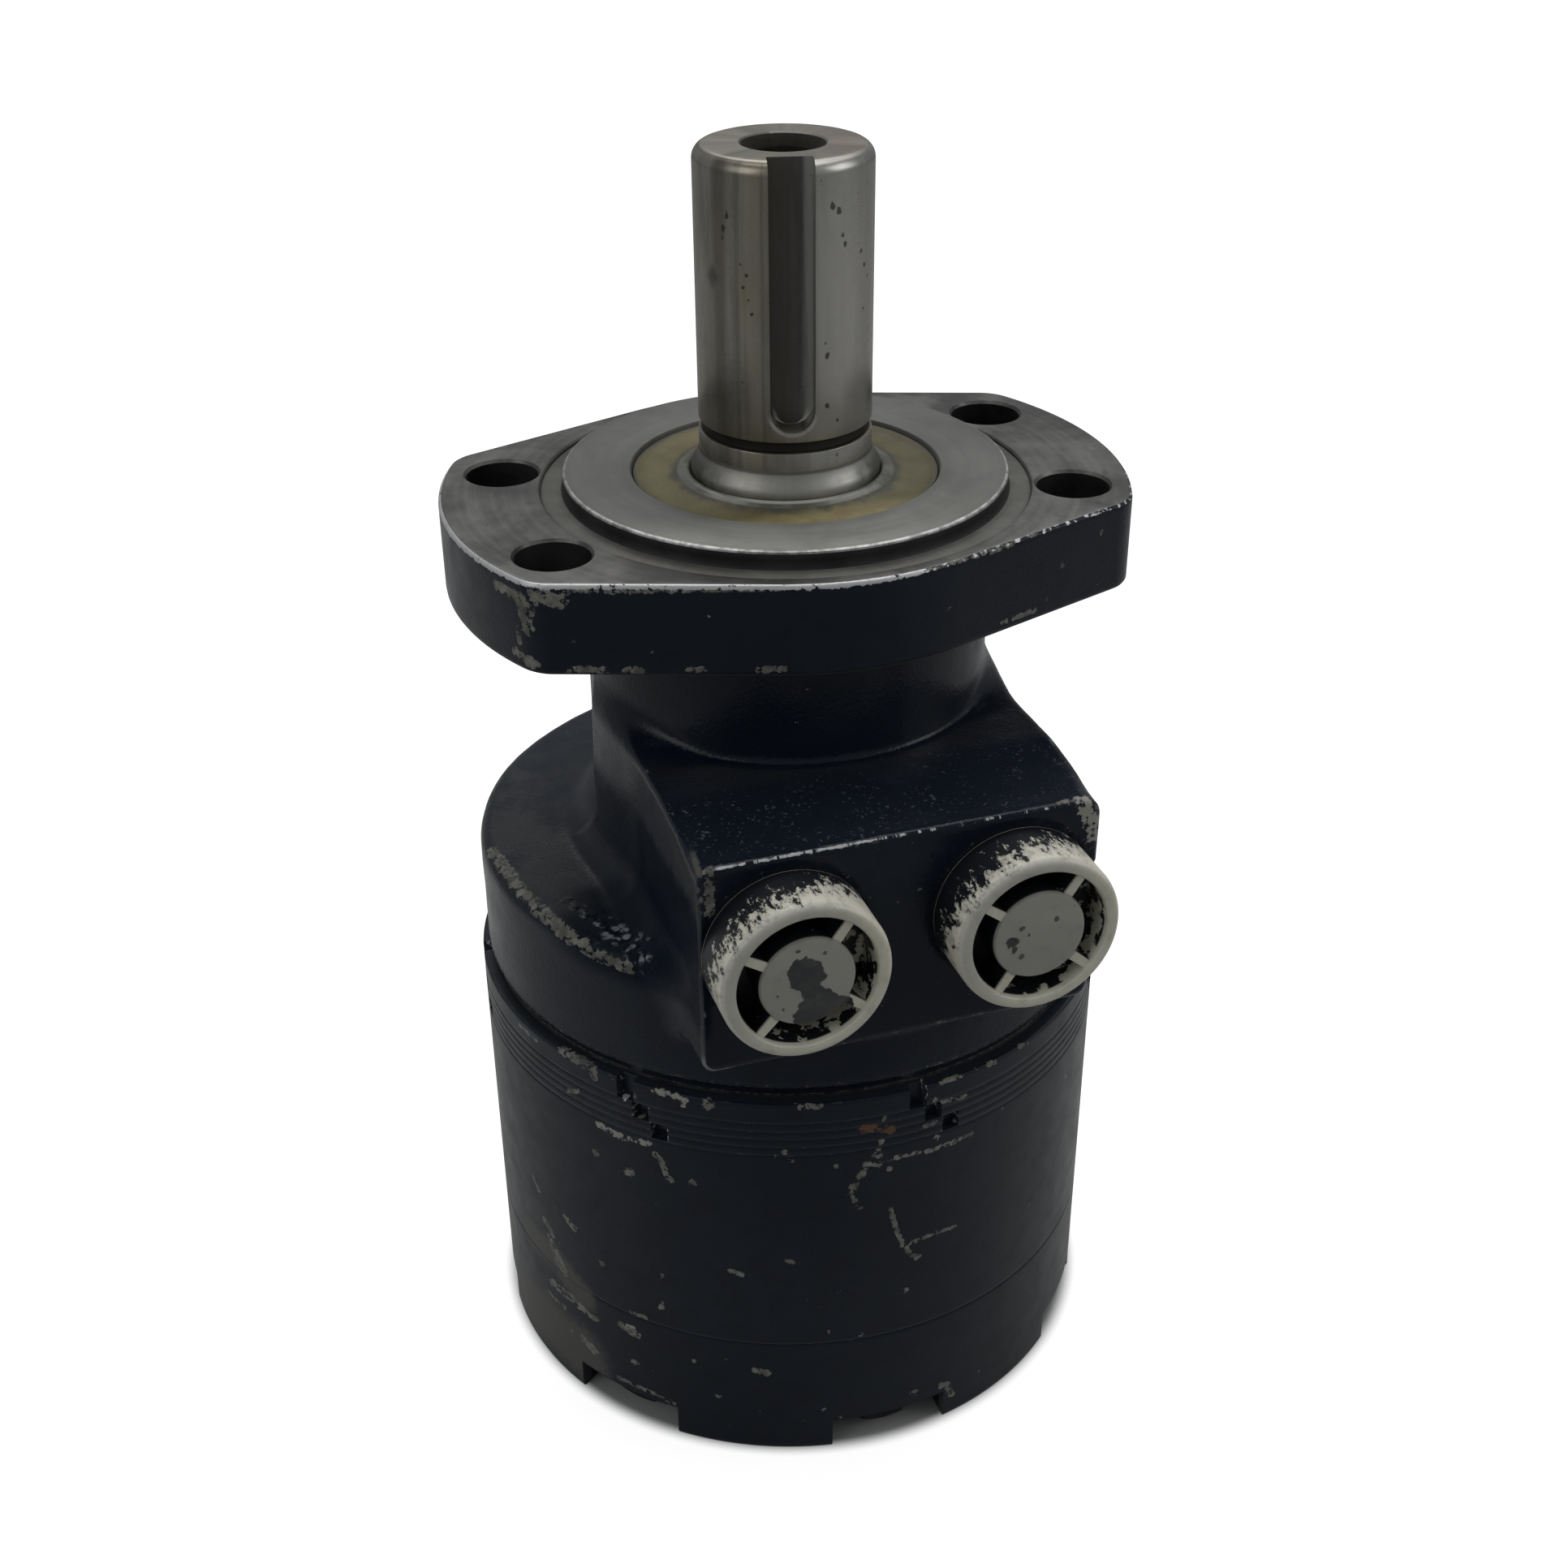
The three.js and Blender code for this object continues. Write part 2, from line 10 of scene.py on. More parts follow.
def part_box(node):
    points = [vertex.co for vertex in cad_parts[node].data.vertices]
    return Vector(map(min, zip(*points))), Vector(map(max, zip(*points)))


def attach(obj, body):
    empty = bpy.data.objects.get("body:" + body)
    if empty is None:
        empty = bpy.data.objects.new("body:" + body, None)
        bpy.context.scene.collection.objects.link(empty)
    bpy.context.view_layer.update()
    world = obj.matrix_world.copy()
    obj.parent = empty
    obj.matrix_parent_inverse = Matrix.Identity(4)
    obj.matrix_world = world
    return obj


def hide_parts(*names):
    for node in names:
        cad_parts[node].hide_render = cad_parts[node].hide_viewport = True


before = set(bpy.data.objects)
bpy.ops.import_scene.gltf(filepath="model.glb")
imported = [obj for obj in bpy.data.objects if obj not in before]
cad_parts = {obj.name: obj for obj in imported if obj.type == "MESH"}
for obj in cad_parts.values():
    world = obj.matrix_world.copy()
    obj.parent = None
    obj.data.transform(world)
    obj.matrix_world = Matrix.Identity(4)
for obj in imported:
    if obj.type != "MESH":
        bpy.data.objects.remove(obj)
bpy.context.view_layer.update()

MM = 0.001
DEG = math.pi / 180
BOLT_STEP = 360 / 7
scene = bpy.context.scene

# ---------------------------------------------------------------- wear marks
# kind, half width, points on the surface, all in millimetres. g: paint chipped to metal, b: bright rubbed metal,
# c: pale primer, r: rust, w: thin worn paint, l: lumpy glossy paint
MARKS = [
    ('g', 0.76, [(-59.7, -23.0, 183.2), (-57.1, -28.8, 183.3), (-55.5, -30.7, 181.6)]),
    ('g', 1.14, [(-55.0, -31.2, 184.4), (-51.1, -33.0, 183.2)]),
    ('g', 1.06, [(-56.8, -29.2, 181.9), (-56.3, -30.0, 177.7)]),
    ('g', 0.53, [(-57.7, -27.7, 177.3), (-57.5, -28.1, 174.7)]),
    ('g', 0.83, [(-58.0, -26.9, 172.3), (-55.8, -30.5, 171.3)]),
    ('g', 0.53, [(-50.3, -33.3, 170.5), (-44.3, -35.5, 170.5)]),
    ('g', 0.53, [(-41.2, -36.6, 170.5), (-38.8, -37.5, 170.5)]),
    ('g', 0.45, [(-31.5, -40.1, 170.6), (-28.7, -41.2, 170.6)]),
    ('g', 0.53, [(-19.9, -44.4, 170.6), (-16.1, -45.7, 170.9)]),
    ('g', 0.38, [(26.0, -42.1, 171.4), (33.6, -39.4, 171.4)]),
    ('g', 0.3, [(-49.7, -33.5, 185.4), (-44.0, -35.6, 185.3), (-38.2, -37.7, 185.3), (-32.8, -39.7, 185.4), (-27.4, -41.6, 185.5), (-22.0, -43.6, 185.7), (-16.6, -45.6, 185.8)]),
    ('g', 0.45, [(-16.6, -45.6, 186.3), (-10.1, -47.4, 185.9)]),
    ('g', 0.38, [(-10.1, -47.4, 186.2), (-3.3, -48.3, 186.2), (5.5, -48.2, 186.1)]),
    ('g', 0.3, [(5.5, -48.2, 186.3), (12.0, -46.8, 186.3), (18.8, -44.8, 186.0), (27.9, -41.5, 186.0)]),
    ('g', 0.38, [(29.3, -40.1, 186.3), (33.8, -39.3, 186.3)]),
    ('g', 0.45, [(48.6, -33.9, 181.9)]),
    ('g', 0.45, [(39.7, -37.1, 178.5)]),
    ('g', 0.38, [(36.3, -38.4, 172.9)]),
    ('g', 0.38, [(14.0, -46.4, 177.7)]),
    ('g', 1.1, [(-60.3, 2.4, 115.7), (-58.4, -12.9, 115.9), (-56.4, -21.3, 115.7), (-53.2, -30.3, 115.1), (-48.9, -37.4, 114.2), (-44.9, -42.3, 113.8)]),
    ('l', 2.27, [(-46.4, -31.1, 116.3), (-41.3, -43.5, 115.9)]),
    ('l', 1.21, [(-50.8, -20.7, 116.3), (-45.0, -34.5, 116.3)]),
    ('w', 0.45, [(-38.2, -1.6, 147.7), (-38.0, -3.8, 141.0)]),
    ('w', 0.68, [(-35.3, -26.3, 144.4), (-34.8, -37.8, 144.6)]),
    ('g', 1.06, [(-34.6, -37.1, 144.7), (-34.9, -44.6, 144.6)]),
    ('w', 0.61, [(-34.8, -45.3, 144.6), (-35.7, -54.4, 144.2), (-36.6, -62.0, 143.5)]),
    ('g', 0.76, [(-35.0, -34.6, 144.5), (-34.8, -39.3, 144.6)]),
    ('g', 0.76, [(-35.1, -62.6, 144.5), (-35.4, -63.0, 136.2)]),
    ('g', 0.45, [(29.5, -62.1, 144.8), (33.6, -61.7, 144.8)]),
    ('c', 1.45, [(33.9, -62.9, 144.1), (35.6, -63.0, 140.9), (36.5, -63.0, 137.6)]),
    ('g', 0.38, [(18.4, -36.1, 146.0)]),
    ('g', 0.38, [(3.1, -63.0, 132.8)]),
    ('g', 0.76, [(-56.1, -29.4, 89.0), (-51.4, -37.0, 88.4)]),
    ('g', 0.68, [(-51.9, -36.3, 88.1), (-51.4, -37.1, 86.9)]),
    ('g', 0.3, [(-61.3, -16.4, 87.2), (-59.1, -22.7, 87.2)]),
    ('g', 0.38, [(-55.4, -30.7, 79.9), (-53.9, -33.3, 81.3)]),
    ('g', 0.38, [(-49.1, -40.1, 88.6), (-47.4, -40.9, 87.9)]),
    ('b', 0.61, [(-46.9, -42.0, 84.4)]),
    ('g', 0.45, [(-45.6, -44.2, 86.0)]),
    ('c', 0.53, [(-42.5, -47.0, 88.7), (-37.6, -51.1, 88.3)]),
    ('c', 0.45, [(-38.0, -50.8, 86.7)]),
    ('g', 0.98, [(-33.9, -53.5, 87.9)]),
    ('g', 0.5, [(-18.4, -60.6, 88.5), (-15.0, -61.7, 88.6)]),
    ('c', 0.61, [(-51.3, -37.3, 75.6), (-48.6, -40.6, 74.9), (-43.7, -46.0, 75.5)]),
    ('g', 0.45, [(-44.5, -44.1, 80.7)]),
    ('g', 0.53, [(-42.8, -46.7, 73.4), (-41.7, -47.7, 71.7), (-41.1, -48.3, 68.6), (-40.3, -48.9, 67.9)]),
    ('g', 0.68, [(-51.9, -36.4, 68.1)]),
    ('g', 0.98, [(-47.1, -42.4, 66.8)]),
    ('g', 0.61, [(-36.8, -51.6, 68.5)]),
    ('g', 0.45, [(-22.5, -59.2, 77.2)]),
    ('g', 0.53, [(-21.2, -59.7, 78.0)]),
    ('g', 0.61, [(-20.1, -60.1, 75.9)]),
    ('g', 0.45, [(-2.8, -63.4, 83.8)]),
    ('r', 0.8, [(-6.6, -63.0, 82.4), (-1.1, -63.4, 80.8)]),
    ('g', 0.53, [(-3.4, -63.3, 78.5)]),
    ('g', 0.91, [(-4.0, -63.2, 75.7)]),
    ('g', 0.53, [(5.3, -63.1, 79.7), (7.6, -62.9, 79.9)]),
    ('g', 0.61, [(8.1, -63.0, 75.9)]),
    ('g', 0.45, [(6.1, -63.1, 73.4), (11.1, -62.4, 73.5), (16.0, -61.4, 73.6)]),
    ('g', 0.27, [(-1.8, -63.4, 73.8), (4.6, -63.2, 73.7)]),
    ('g', 0.53, [(-6.4, -63.1, 73.5), (-3.3, -63.3, 73.0)]),
    ('g', 0.61, [(-6.4, -63.1, 72.3), (-8.4, -62.9, 69.0), (-9.1, -62.8, 67.1)]),
    ('g', 0.27, [(-8.8, -62.8, 65.8), (-7.2, -63.0, 63.1)]),
    ('g', 0.53, [(-1.6, -63.4, 71.4)]),
    ('g', 0.45, [(-11.9, -62.2, 74.0)]),
    ('g', 0.38, [(-1.2, -63.4, 61.3), (0.1, -63.5, 55.9), (1.6, -63.4, 51.6), (3.4, -63.3, 48.5), (4.8, -63.2, 47.1)]),
    ('g', 0.34, [(1.6, -63.4, 51.2), (7.3, -63.0, 51.9), (13.4, -61.9, 51.7)]),
    ('g', 0.61, [(4.8, -63.2, 47.3)]),
    ('g', 0.45, [(8.7, -62.8, 88.9), (13.1, -62.0, 88.8)]),
    ('g', 0.38, [(19.2, -60.4, 88.6), (20.9, -59.8, 88.5)]),
    ('g', 0.23, [(8.8, -62.9, 84.2), (14.0, -61.8, 83.6)]),
    ('g', 0.53, [(7.3, -63.0, 85.5)]),
    ('g', 0.45, [(23.2, -59.0, 76.2)]),
    ('g', 0.3, [(26.9, -57.4, 88.7), (29.1, -56.3, 88.2)]),
    ('g', 0.45, [(-61.2, -16.7, 48.9), (-60.5, -18.8, 46.5)]),
    ('g', 0.38, [(-57.1, -27.4, 47.2), (-56.6, -28.5, 46.0)]),
    ('g', 0.76, [(-56.1, -29.5, 44.5)]),
    ('g', 0.61, [(-60.1, -20.1, 39.9), (-59.2, -22.8, 37.7)]),
    ('g', 0.98, [(-59.3, -22.4, 33.9), (-58.0, -25.6, 30.9)]),
    ('g', 0.61, [(-52.2, -36.0, 39.4)]),
    ('w', 3.33, [(-62.6, -10.1, 12.3), (-58.2, -25.3, 12.9), (-55.6, -30.5, 13.4)]),
    ('g', 0.61, [(-59.9, -20.6, 23.0), (-53.7, -33.7, 22.6)]),
    ('g', 0.91, [(-55.8, -30.1, 14.3), (-54.3, -32.8, 13.0)]),
    ('w', 1.06, [(-62.4, -11.2, 6.1), (-59.6, -21.7, 5.3)]),
    ('g', 0.61, [(-42.5, -47.0, 42.4)]),
    ('g', 0.45, [(-31.1, -55.3, 47.6), (-28.9, -56.4, 47.0)]),
    ('g', 0.61, [(-43.0, -46.6, 34.1)]),
    ('g', 0.53, [(-48.0, -41.4, 29.5), (-45.8, -43.9, 29.7)]),
    ('g', 0.83, [(-49.9, -39.2, 24.8), (-47.3, -42.2, 23.8)]),
    ('g', 0.68, [(-48.0, -41.4, 15.8)]),
    ('g', 0.45, [(-37.9, -50.9, 21.7)]),
    ('g', 0.61, [(-27.1, -57.3, 21.7), (-24.9, -58.4, 21.1)]),
    ('g', 0.61, [(2.4, -63.3, 39.3)]),
    ('g', 0.76, [(5.0, -63.2, 10.2)]),
    ('g', 0.61, [(11.2, -62.4, 9.4), (12.8, -62.1, 9.0), (14.2, -61.8, 5.3)]),
    ('g', 0.45, [(-14.0, -61.8, 10.5)]),
    ('g', 0.38, [(-10.7, -62.5, 8.0)]),
    ('g', 0.38, [(-13.3, -62.0, 32.1)]),
    ('g', 0.45, [(-6.5, -63.1, 30.1)]),
    ('g', 0.45, [(-50.8, -38.0, 9.2), (-44.5, -45.3, 9.2), (-41.5, -47.9, 7.9)]),
    ('g', 0.5, [(-57.3, -27.2, 46.0), (-56.8, -28.1, 45.1)]),
    ('g', 0.6, [(-56.4, -29.0, 44.8), (-55.9, -29.9, 44.5)]),
    ('g', 0.7, [(-59.8, -21.1, 36.1), (-59.4, -22.2, 35.4)]),
    ('g', 0.9, [(-59.2, -22.7, 32.3), (-58.5, -24.4, 30.8)]),
    ('g', 0.6, [(-58.3, -24.9, 29.5), (-57.8, -26.1, 29.1)]),
    ('c', 0.4, [(-48.9, -40.4, 25.4), (-47.8, -41.6, 25.5)]),
    ('g', 0.5, [(-47.1, -42.4, 29.5), (-46.2, -43.4, 29.7)]),
    ('g', 0.4, [(-42.9, -46.7, 35.5)]),
    ('g', 0.45, [(-59.7, -21.4, 24.2), (-57.3, -27.0, 24.5), (-54.1, -33.1, 22.8)]),
    ('g', 0.45, [(-60.4, -19.2, 19.3), (-58.3, -24.8, 19.3)]),
    ('g', 0.4, [(-47.9, -41.6, 15.9), (-47.2, -42.3, 15.7)]),
    ('g', 0.4, [(-34.2, -53.4, 13.5), (-33.5, -53.9, 13.2)]),
    ('g', 0.5, [(-20.8, -59.9, 51.2), (-20.0, -60.2, 50.6)]),
    ('g', 0.45, [(-26.3, -57.7, 21.5), (-25.0, -58.2, 21.3)]),
    ('g', 0.4, [(-11.1, -62.4, 42.3)]),
    ('g', 0.35, [(-37.3, -51.3, 68.2), (-36.8, -51.6, 69.0)]),
    # broad worn-paint patches low on the stack's left side, partly worn paint and partly painted sheen along that side
    ('w', 7.0, [(-62.8, -8.9, 8.4), (-60.2, -20.0, 10.9), (-56.3, -29.2, 9.9)]),
    ('w', 3.5, [(-62.1, -12.8, 31.1), (-59.4, -22.3, 32.0), (-55.6, -30.4, 27.0)]),
]


def marks_field(points, kinds, spread=2.0):
    """For each point, 1 on a mark's line falling to 0 at `spread` of its half width away: 0.5 lies on its edge."""
    best = np.zeros(len(points))
    for kind, half, line in MARKS:
        if kind not in kinds:
            continue
        pts = np.array(line, float)
        half = max(half, 0.4)
        lo, hi = pts.min(0) - half * spread - 0.5, pts.max(0) + half * spread + 0.5
        near = np.nonzero(((points > lo) & (points < hi)).all(1))[0]
        if not len(near):
            continue
        p = points[near]
        d = np.full(len(near), 1e9)
        if len(pts) == 1:
            d = np.linalg.norm(p - pts[0], axis=1)
        for a, b in zip(pts, pts[1:]):
            ab = b - a
            t = np.clip(((p - a) @ ab) / max(ab @ ab, 1e-9), 0, 1)
            d = np.minimum(d, np.linalg.norm(p - a - t[:, None] * ab, axis=1))
        best[near] = np.maximum(best[near], np.clip(1 - 0.5 * d / half, 0, 1))
    return best


# ---------------------------------------------------------------- mesh helpers
def mesh_object(name, verts, faces, smooth_angle=35, normals=None):
    me = bpy.data.meshes.new(name)
    v = np.asarray(verts, float) * MM
    me.from_pydata(v.tolist(), [], [list(map(int, f)) for f in faces] if not isinstance(faces, np.ndarray) else faces.tolist())
    me.validate()
    me.update()
    me.shade_smooth()
    if smooth_angle is not None:
        me.set_sharp_from_angle(angle=smooth_angle * DEG)
    if normals is not None:
        me.normals_split_custom_set_from_vertices(normals.tolist())
    ob = bpy.data.objects.new(name, me)
    scene.collection.objects.link(ob)
    return ob


def add_attr(ob, name, values):
    me = ob.data
    a = me.attributes.get(name) or me.attributes.new(name, "FLOAT", "POINT")
    a.data.foreach_set("value", np.asarray(values, np.float32))


def coords(ob):
    out = np.empty(len(ob.data.vertices) * 3)
    ob.data.vertices.foreach_get("co", out)
    return out.reshape(-1, 3) / MM


def mark_attrs(ob, curv=None):
    p = coords(ob)
    for name, kinds in (("chip", "g"), ("bright", "b"), ("cream", "c"), ("rust", "r"), ("worn", "w"), ("lump", "l")):
        add_attr(ob, name, marks_field(p, kinds))
    add_attr(ob, "curv", np.zeros(len(p)) if curv is None else curv)


def lathe(name, profile, segments=128, closed=True, cx=0.0, cy=0.0, smooth_angle=35):
    """A solid of revolution about +Z from [r, z] points, closed on itself or from axis to axis."""
    n = segments
    ang = 2 * math.pi * (np.arange(n) + 0.5) / n
    verts, rows = [], []
    for r, z in profile:
        if r < 1e-9:
            rows.append([len(verts)] * n)
            verts.append((cx, cy, z))
        else:
            rows.append(list(range(len(verts), len(verts) + n)))
            verts += [(cx + r * math.cos(a), cy + r * math.sin(a), z) for a in ang]
    faces = []
    pairs = list(zip(rows, rows[1:])) + ([(rows[-1], rows[0])] if closed else [])
    for a, b in pairs:
        for i in range(n):
            j = (i + 1) % n
            q = [a[i], a[j], b[j], b[i]]
            q = [x for k, x in enumerate(q) if x != q[k - 1]]
            if len(q) > 2:
                faces.append(q)
    ob = mesh_object(name, verts, faces, smooth_angle)
    outward(ob)
    return ob


def outward(ob):
    bm = bmesh.new()
    bm.from_mesh(ob.data)
    bmesh.ops.recalc_face_normals(bm, faces=bm.faces)
    if bm.calc_volume(signed=True) < 0:
        bmesh.ops.reverse_faces(bm, faces=bm.faces)
    bm.to_mesh(ob.data)
    bm.free()


def arc_points(cx, cz, r, a0, a1, n):
    return [(cx + r * math.cos(a * DEG), cz + r * math.sin(a * DEG)) for a in np.linspace(a0, a1, n + 1)]


def prism(name, outline, z0, z1, axis="z", smooth_angle=35):
    """A closed solid from an outline, between two heights; axis y reads the outline as X and Z."""
    n = len(outline)
    if axis == "z":
        verts = [(x, y, z0) for x, y in outline] + [(x, y, z1) for x, y in outline]
    else:
        verts = [(x, z0, z) for x, z in outline] + [(x, z1, z) for x, z in outline]
    faces = [list(range(n))[::-1], list(range(n, 2 * n))] + [[i, (i + 1) % n, n + (i + 1) % n, n + i] for i in range(n)]
    ob = mesh_object(name, verts, faces, smooth_angle)
    outward(ob)
    return ob


def cut(ob, cutters, op="DIFFERENCE"):
    """Applies exact booleans in turn and removes the cutters."""
    for c in cutters:
        m = ob.modifiers.new("cut", "BOOLEAN")
        m.operation, m.solver, m.object = op, "EXACT", c
        dg = bpy.context.evaluated_depsgraph_get()
        made = bpy.data.meshes.new_from_object(ob.evaluated_get(dg))
        ob.modifiers.clear()
        old, ob.data = ob.data, made
        made.name = ob.name
        bpy.data.meshes.remove(old)
        bpy.data.objects.remove(c)
    return ob


def join(name, parts, smooth_angle=None):
    """One mesh from several, keeping their material slots and attributes."""
    for o in bpy.context.selected_objects:
        o.select_set(False)
    for o in parts:
        o.select_set(True)
    bpy.context.view_layer.objects.active = parts[0]
    bpy.ops.object.join()
    ob = parts[0]
    ob.name = ob.data.name = name
    if smooth_angle is not None:
        ob.data.set_sharp_from_angle(angle=smooth_angle * DEG)
    return ob


def resharp(ob, angle=35):
    ob.data.shade_smooth()
    ob.data.set_sharp_from_angle(angle=angle * DEG)


# ---------------------------------------------------------------- implicit casting
def round_union(a, b, r):
    u, v = np.maximum(r - a, 0), np.maximum(r - b, 0)
    return np.maximum(r, np.minimum(a, b)) - np.sqrt(u * u + v * v)


def round_cut(a, b, r):
    u, v = np.maximum(r + a, 0), np.maximum(r + b, 0)
    return np.minimum(-r, np.maximum(a, b)) + np.sqrt(u * u + v * v)


def smooth(x, a, b):
    t = np.clip((x - a) / (b - a), 0, 1)
    return t * t * (3 - 2 * t)


def casting(x, y, z):
    """Signed distance of the housing casting below the flange: drum, port block and neck, blended with cast fillets."""
    rad = np.hypot(x, y)
    # slow waviness of a sand-cast skin
    wave = 0.028 * (np.sin(0.31 * x + 1.3 * np.sin(0.17 * z)) + np.sin(0.27 * y + 0.23 * z + 1.1) + np.sin(0.43 * z - 0.19 * x + 2.0)) + 0.009 * (
        np.sin(0.83 * x + 0.61 * y) + np.sin(0.71 * z + 0.9 * y + 0.4)
    )
    drum = round_cut(rad - 62, z - 116.3, 2.6)
    neck = rad - 38.3
    neck = np.maximum(round_union(neck, 169.3 - z, 2.6), rad - 43)
    body = round_union(drum, neck, 8.5)
    side = np.abs(x) - 37.4
    edge = 1.1 + 2.2 * smooth(-y, 50, 63)
    block = round_cut(side, z - 144.8 - 1.7 * smooth(y, -60, -40), edge)
    block = round_cut(block, 102.3 - z, 2.6)
    block = np.maximum(block, y + 5)
    fillet = 0.8 + 7.4 * smooth(z, 104, 119) + 3.0 * smooth(np.abs(x), 33, 39) * (1 - smooth(z, 104, 119))
    # the neck meets the block's top in a tight corner in front and a wide sweep at the sides
    fillet = fillet * (1 - smooth(z, 134, 143)) + (1.5 + 6.0 * smooth(np.abs(x), 22, 38)) * smooth(z, 134, 143)
    d = round_union(body, block, fillet) + wave * smooth(z, 91, 96)
    # machined port face
    d = round_cut(d, -63 - y, 0.7)
    # lathe-turned undercut over the port plate
    d = round_cut(d, -round_cut(60.7 - rad, z - 91.6, 0.3), 0.5)
    d = np.maximum(d, 89 - z)
    # ports with their spot faces
    pr = np.hypot(np.abs(x) - 21.5, z - 126)
    d = np.maximum(d, -np.maximum(pr - 16.2, y + 62.6))
    d = np.maximum(d, -np.maximum(pr - 11, y + 38))
    bore = np.minimum(np.maximum(rad - 33, z - 146), rad - 24.5)
    d = np.maximum(d, -bore)
    return np.maximum(d, z - 169.6)


def surface_nets(f, lo, hi, h):
    """A closed quad mesh of f = 0: one vertex per crossed cell, then moved onto the surface."""
    ax = [np.arange(lo[i], hi[i] + h, h) for i in range(3)]
    D = np.empty([len(a) for a in ax], np.float32)
    X, Y = np.meshgrid(ax[0], ax[1], indexing="ij")
    for k, zz in enumerate(ax[2]):
        D[:, :, k] = f(X, Y, np.full_like(X, zz))
    D[D == 0] = 1e-6
    S = D < 0
    n = [s - 1 for s in D.shape]
    acc = np.zeros([*n, 3], np.float32)
    cnt = np.zeros(n, np.float32)
    for a in range(3):
        o = [i for i in range(3) if i != a]
        first = [slice(None)] * 3
        second = [slice(None)] * 3
        first[a], second[a] = slice(0, -1), slice(1, None)
        d0, d1 = D[tuple(first)], D[tuple(second)]
        cross = S[tuple(first)] != S[tuple(second)]
        t = np.where(cross, d0 / np.where(cross, d0 - d1, 1), 0).astype(np.float32)
        for u in (0, 1):
            for v in (0, 1):
                s = [slice(None)] * 3
                s[o[0]] = slice(u, u + n[o[0]])
                s[o[1]] = slice(v, v + n[o[1]])
                s[a] = slice(0, n[a])
                m, tt = cross[tuple(s)], t[tuple(s)]
                cnt += m
                acc[..., a] += tt
                acc[..., o[0]] += m * u
                acc[..., o[1]] += m * v
    used = cnt > 0
    idx = np.full(n, -1, np.int64)
    idx[used] = np.arange(used.sum())
    where = np.argwhere(used)
    pos = (where + acc[used] / cnt[used][:, None]) * h + np.array(lo)
    quads = []
    for a in range(3):
        o = [i for i in range(3) if i != a]
        first = [slice(None)] * 3
        second = [slice(None)] * 3
        first[a], second[a] = slice(0, -1), slice(1, None)
        cross = S[tuple(first)] != S[tuple(second)]
        e = np.argwhere(cross)
        e = e[(e[:, o[0]] > 0) & (e[:, o[1]] > 0) & (e[:, o[0]] < n[o[0]]) & (e[:, o[1]] < n[o[1]])]
        def cell(du, dv):
            c = e.copy()
            c[:, o[0]] -= du
            c[:, o[1]] -= dv
            return idx[c[:, 0], c[:, 1], c[:, 2]]
        q = np.stack([cell(1, 1), cell(0, 1), cell(0, 0), cell(1, 0)], 1)
        inside_first = S[e[:, 0], e[:, 1], e[:, 2]]
        flip = inside_first if a == 1 else ~inside_first
        q[flip] = q[flip][:, ::-1]
        quads.append(q)
    quads = np.concatenate(quads)
    pos = pos.astype(float)
    for _ in range(3):
        g, d = gradient(f, pos, 0.05)
        step = np.clip(d / np.maximum((g * g).sum(1), 0.2), -0.45 * h, 0.45 * h)
        pos -= step[:, None] * g
    return pos, quads


def gradient(f, p, e):
    d = f(p[:, 0], p[:, 1], p[:, 2])
    g = np.empty_like(p)
    for i in range(3):
        a, b = p.copy(), p.copy()
        a[:, i] += e
        b[:, i] -= e
        g[:, i] = (f(a[:, 0], a[:, 1], a[:, 2]) - f(b[:, 0], b[:, 1], b[:, 2])) / (2 * e)
    return g, d


def curvature(f, p, e=0.9):
    d = f(p[:, 0], p[:, 1], p[:, 2])
    s = -6 * d
    for i in range(3):
        for k in (-e, e):
            a = p.copy()
            a[:, i] += k
            s = s + f(a[:, 0], a[:, 1], a[:, 2])
    return s / (e * e)


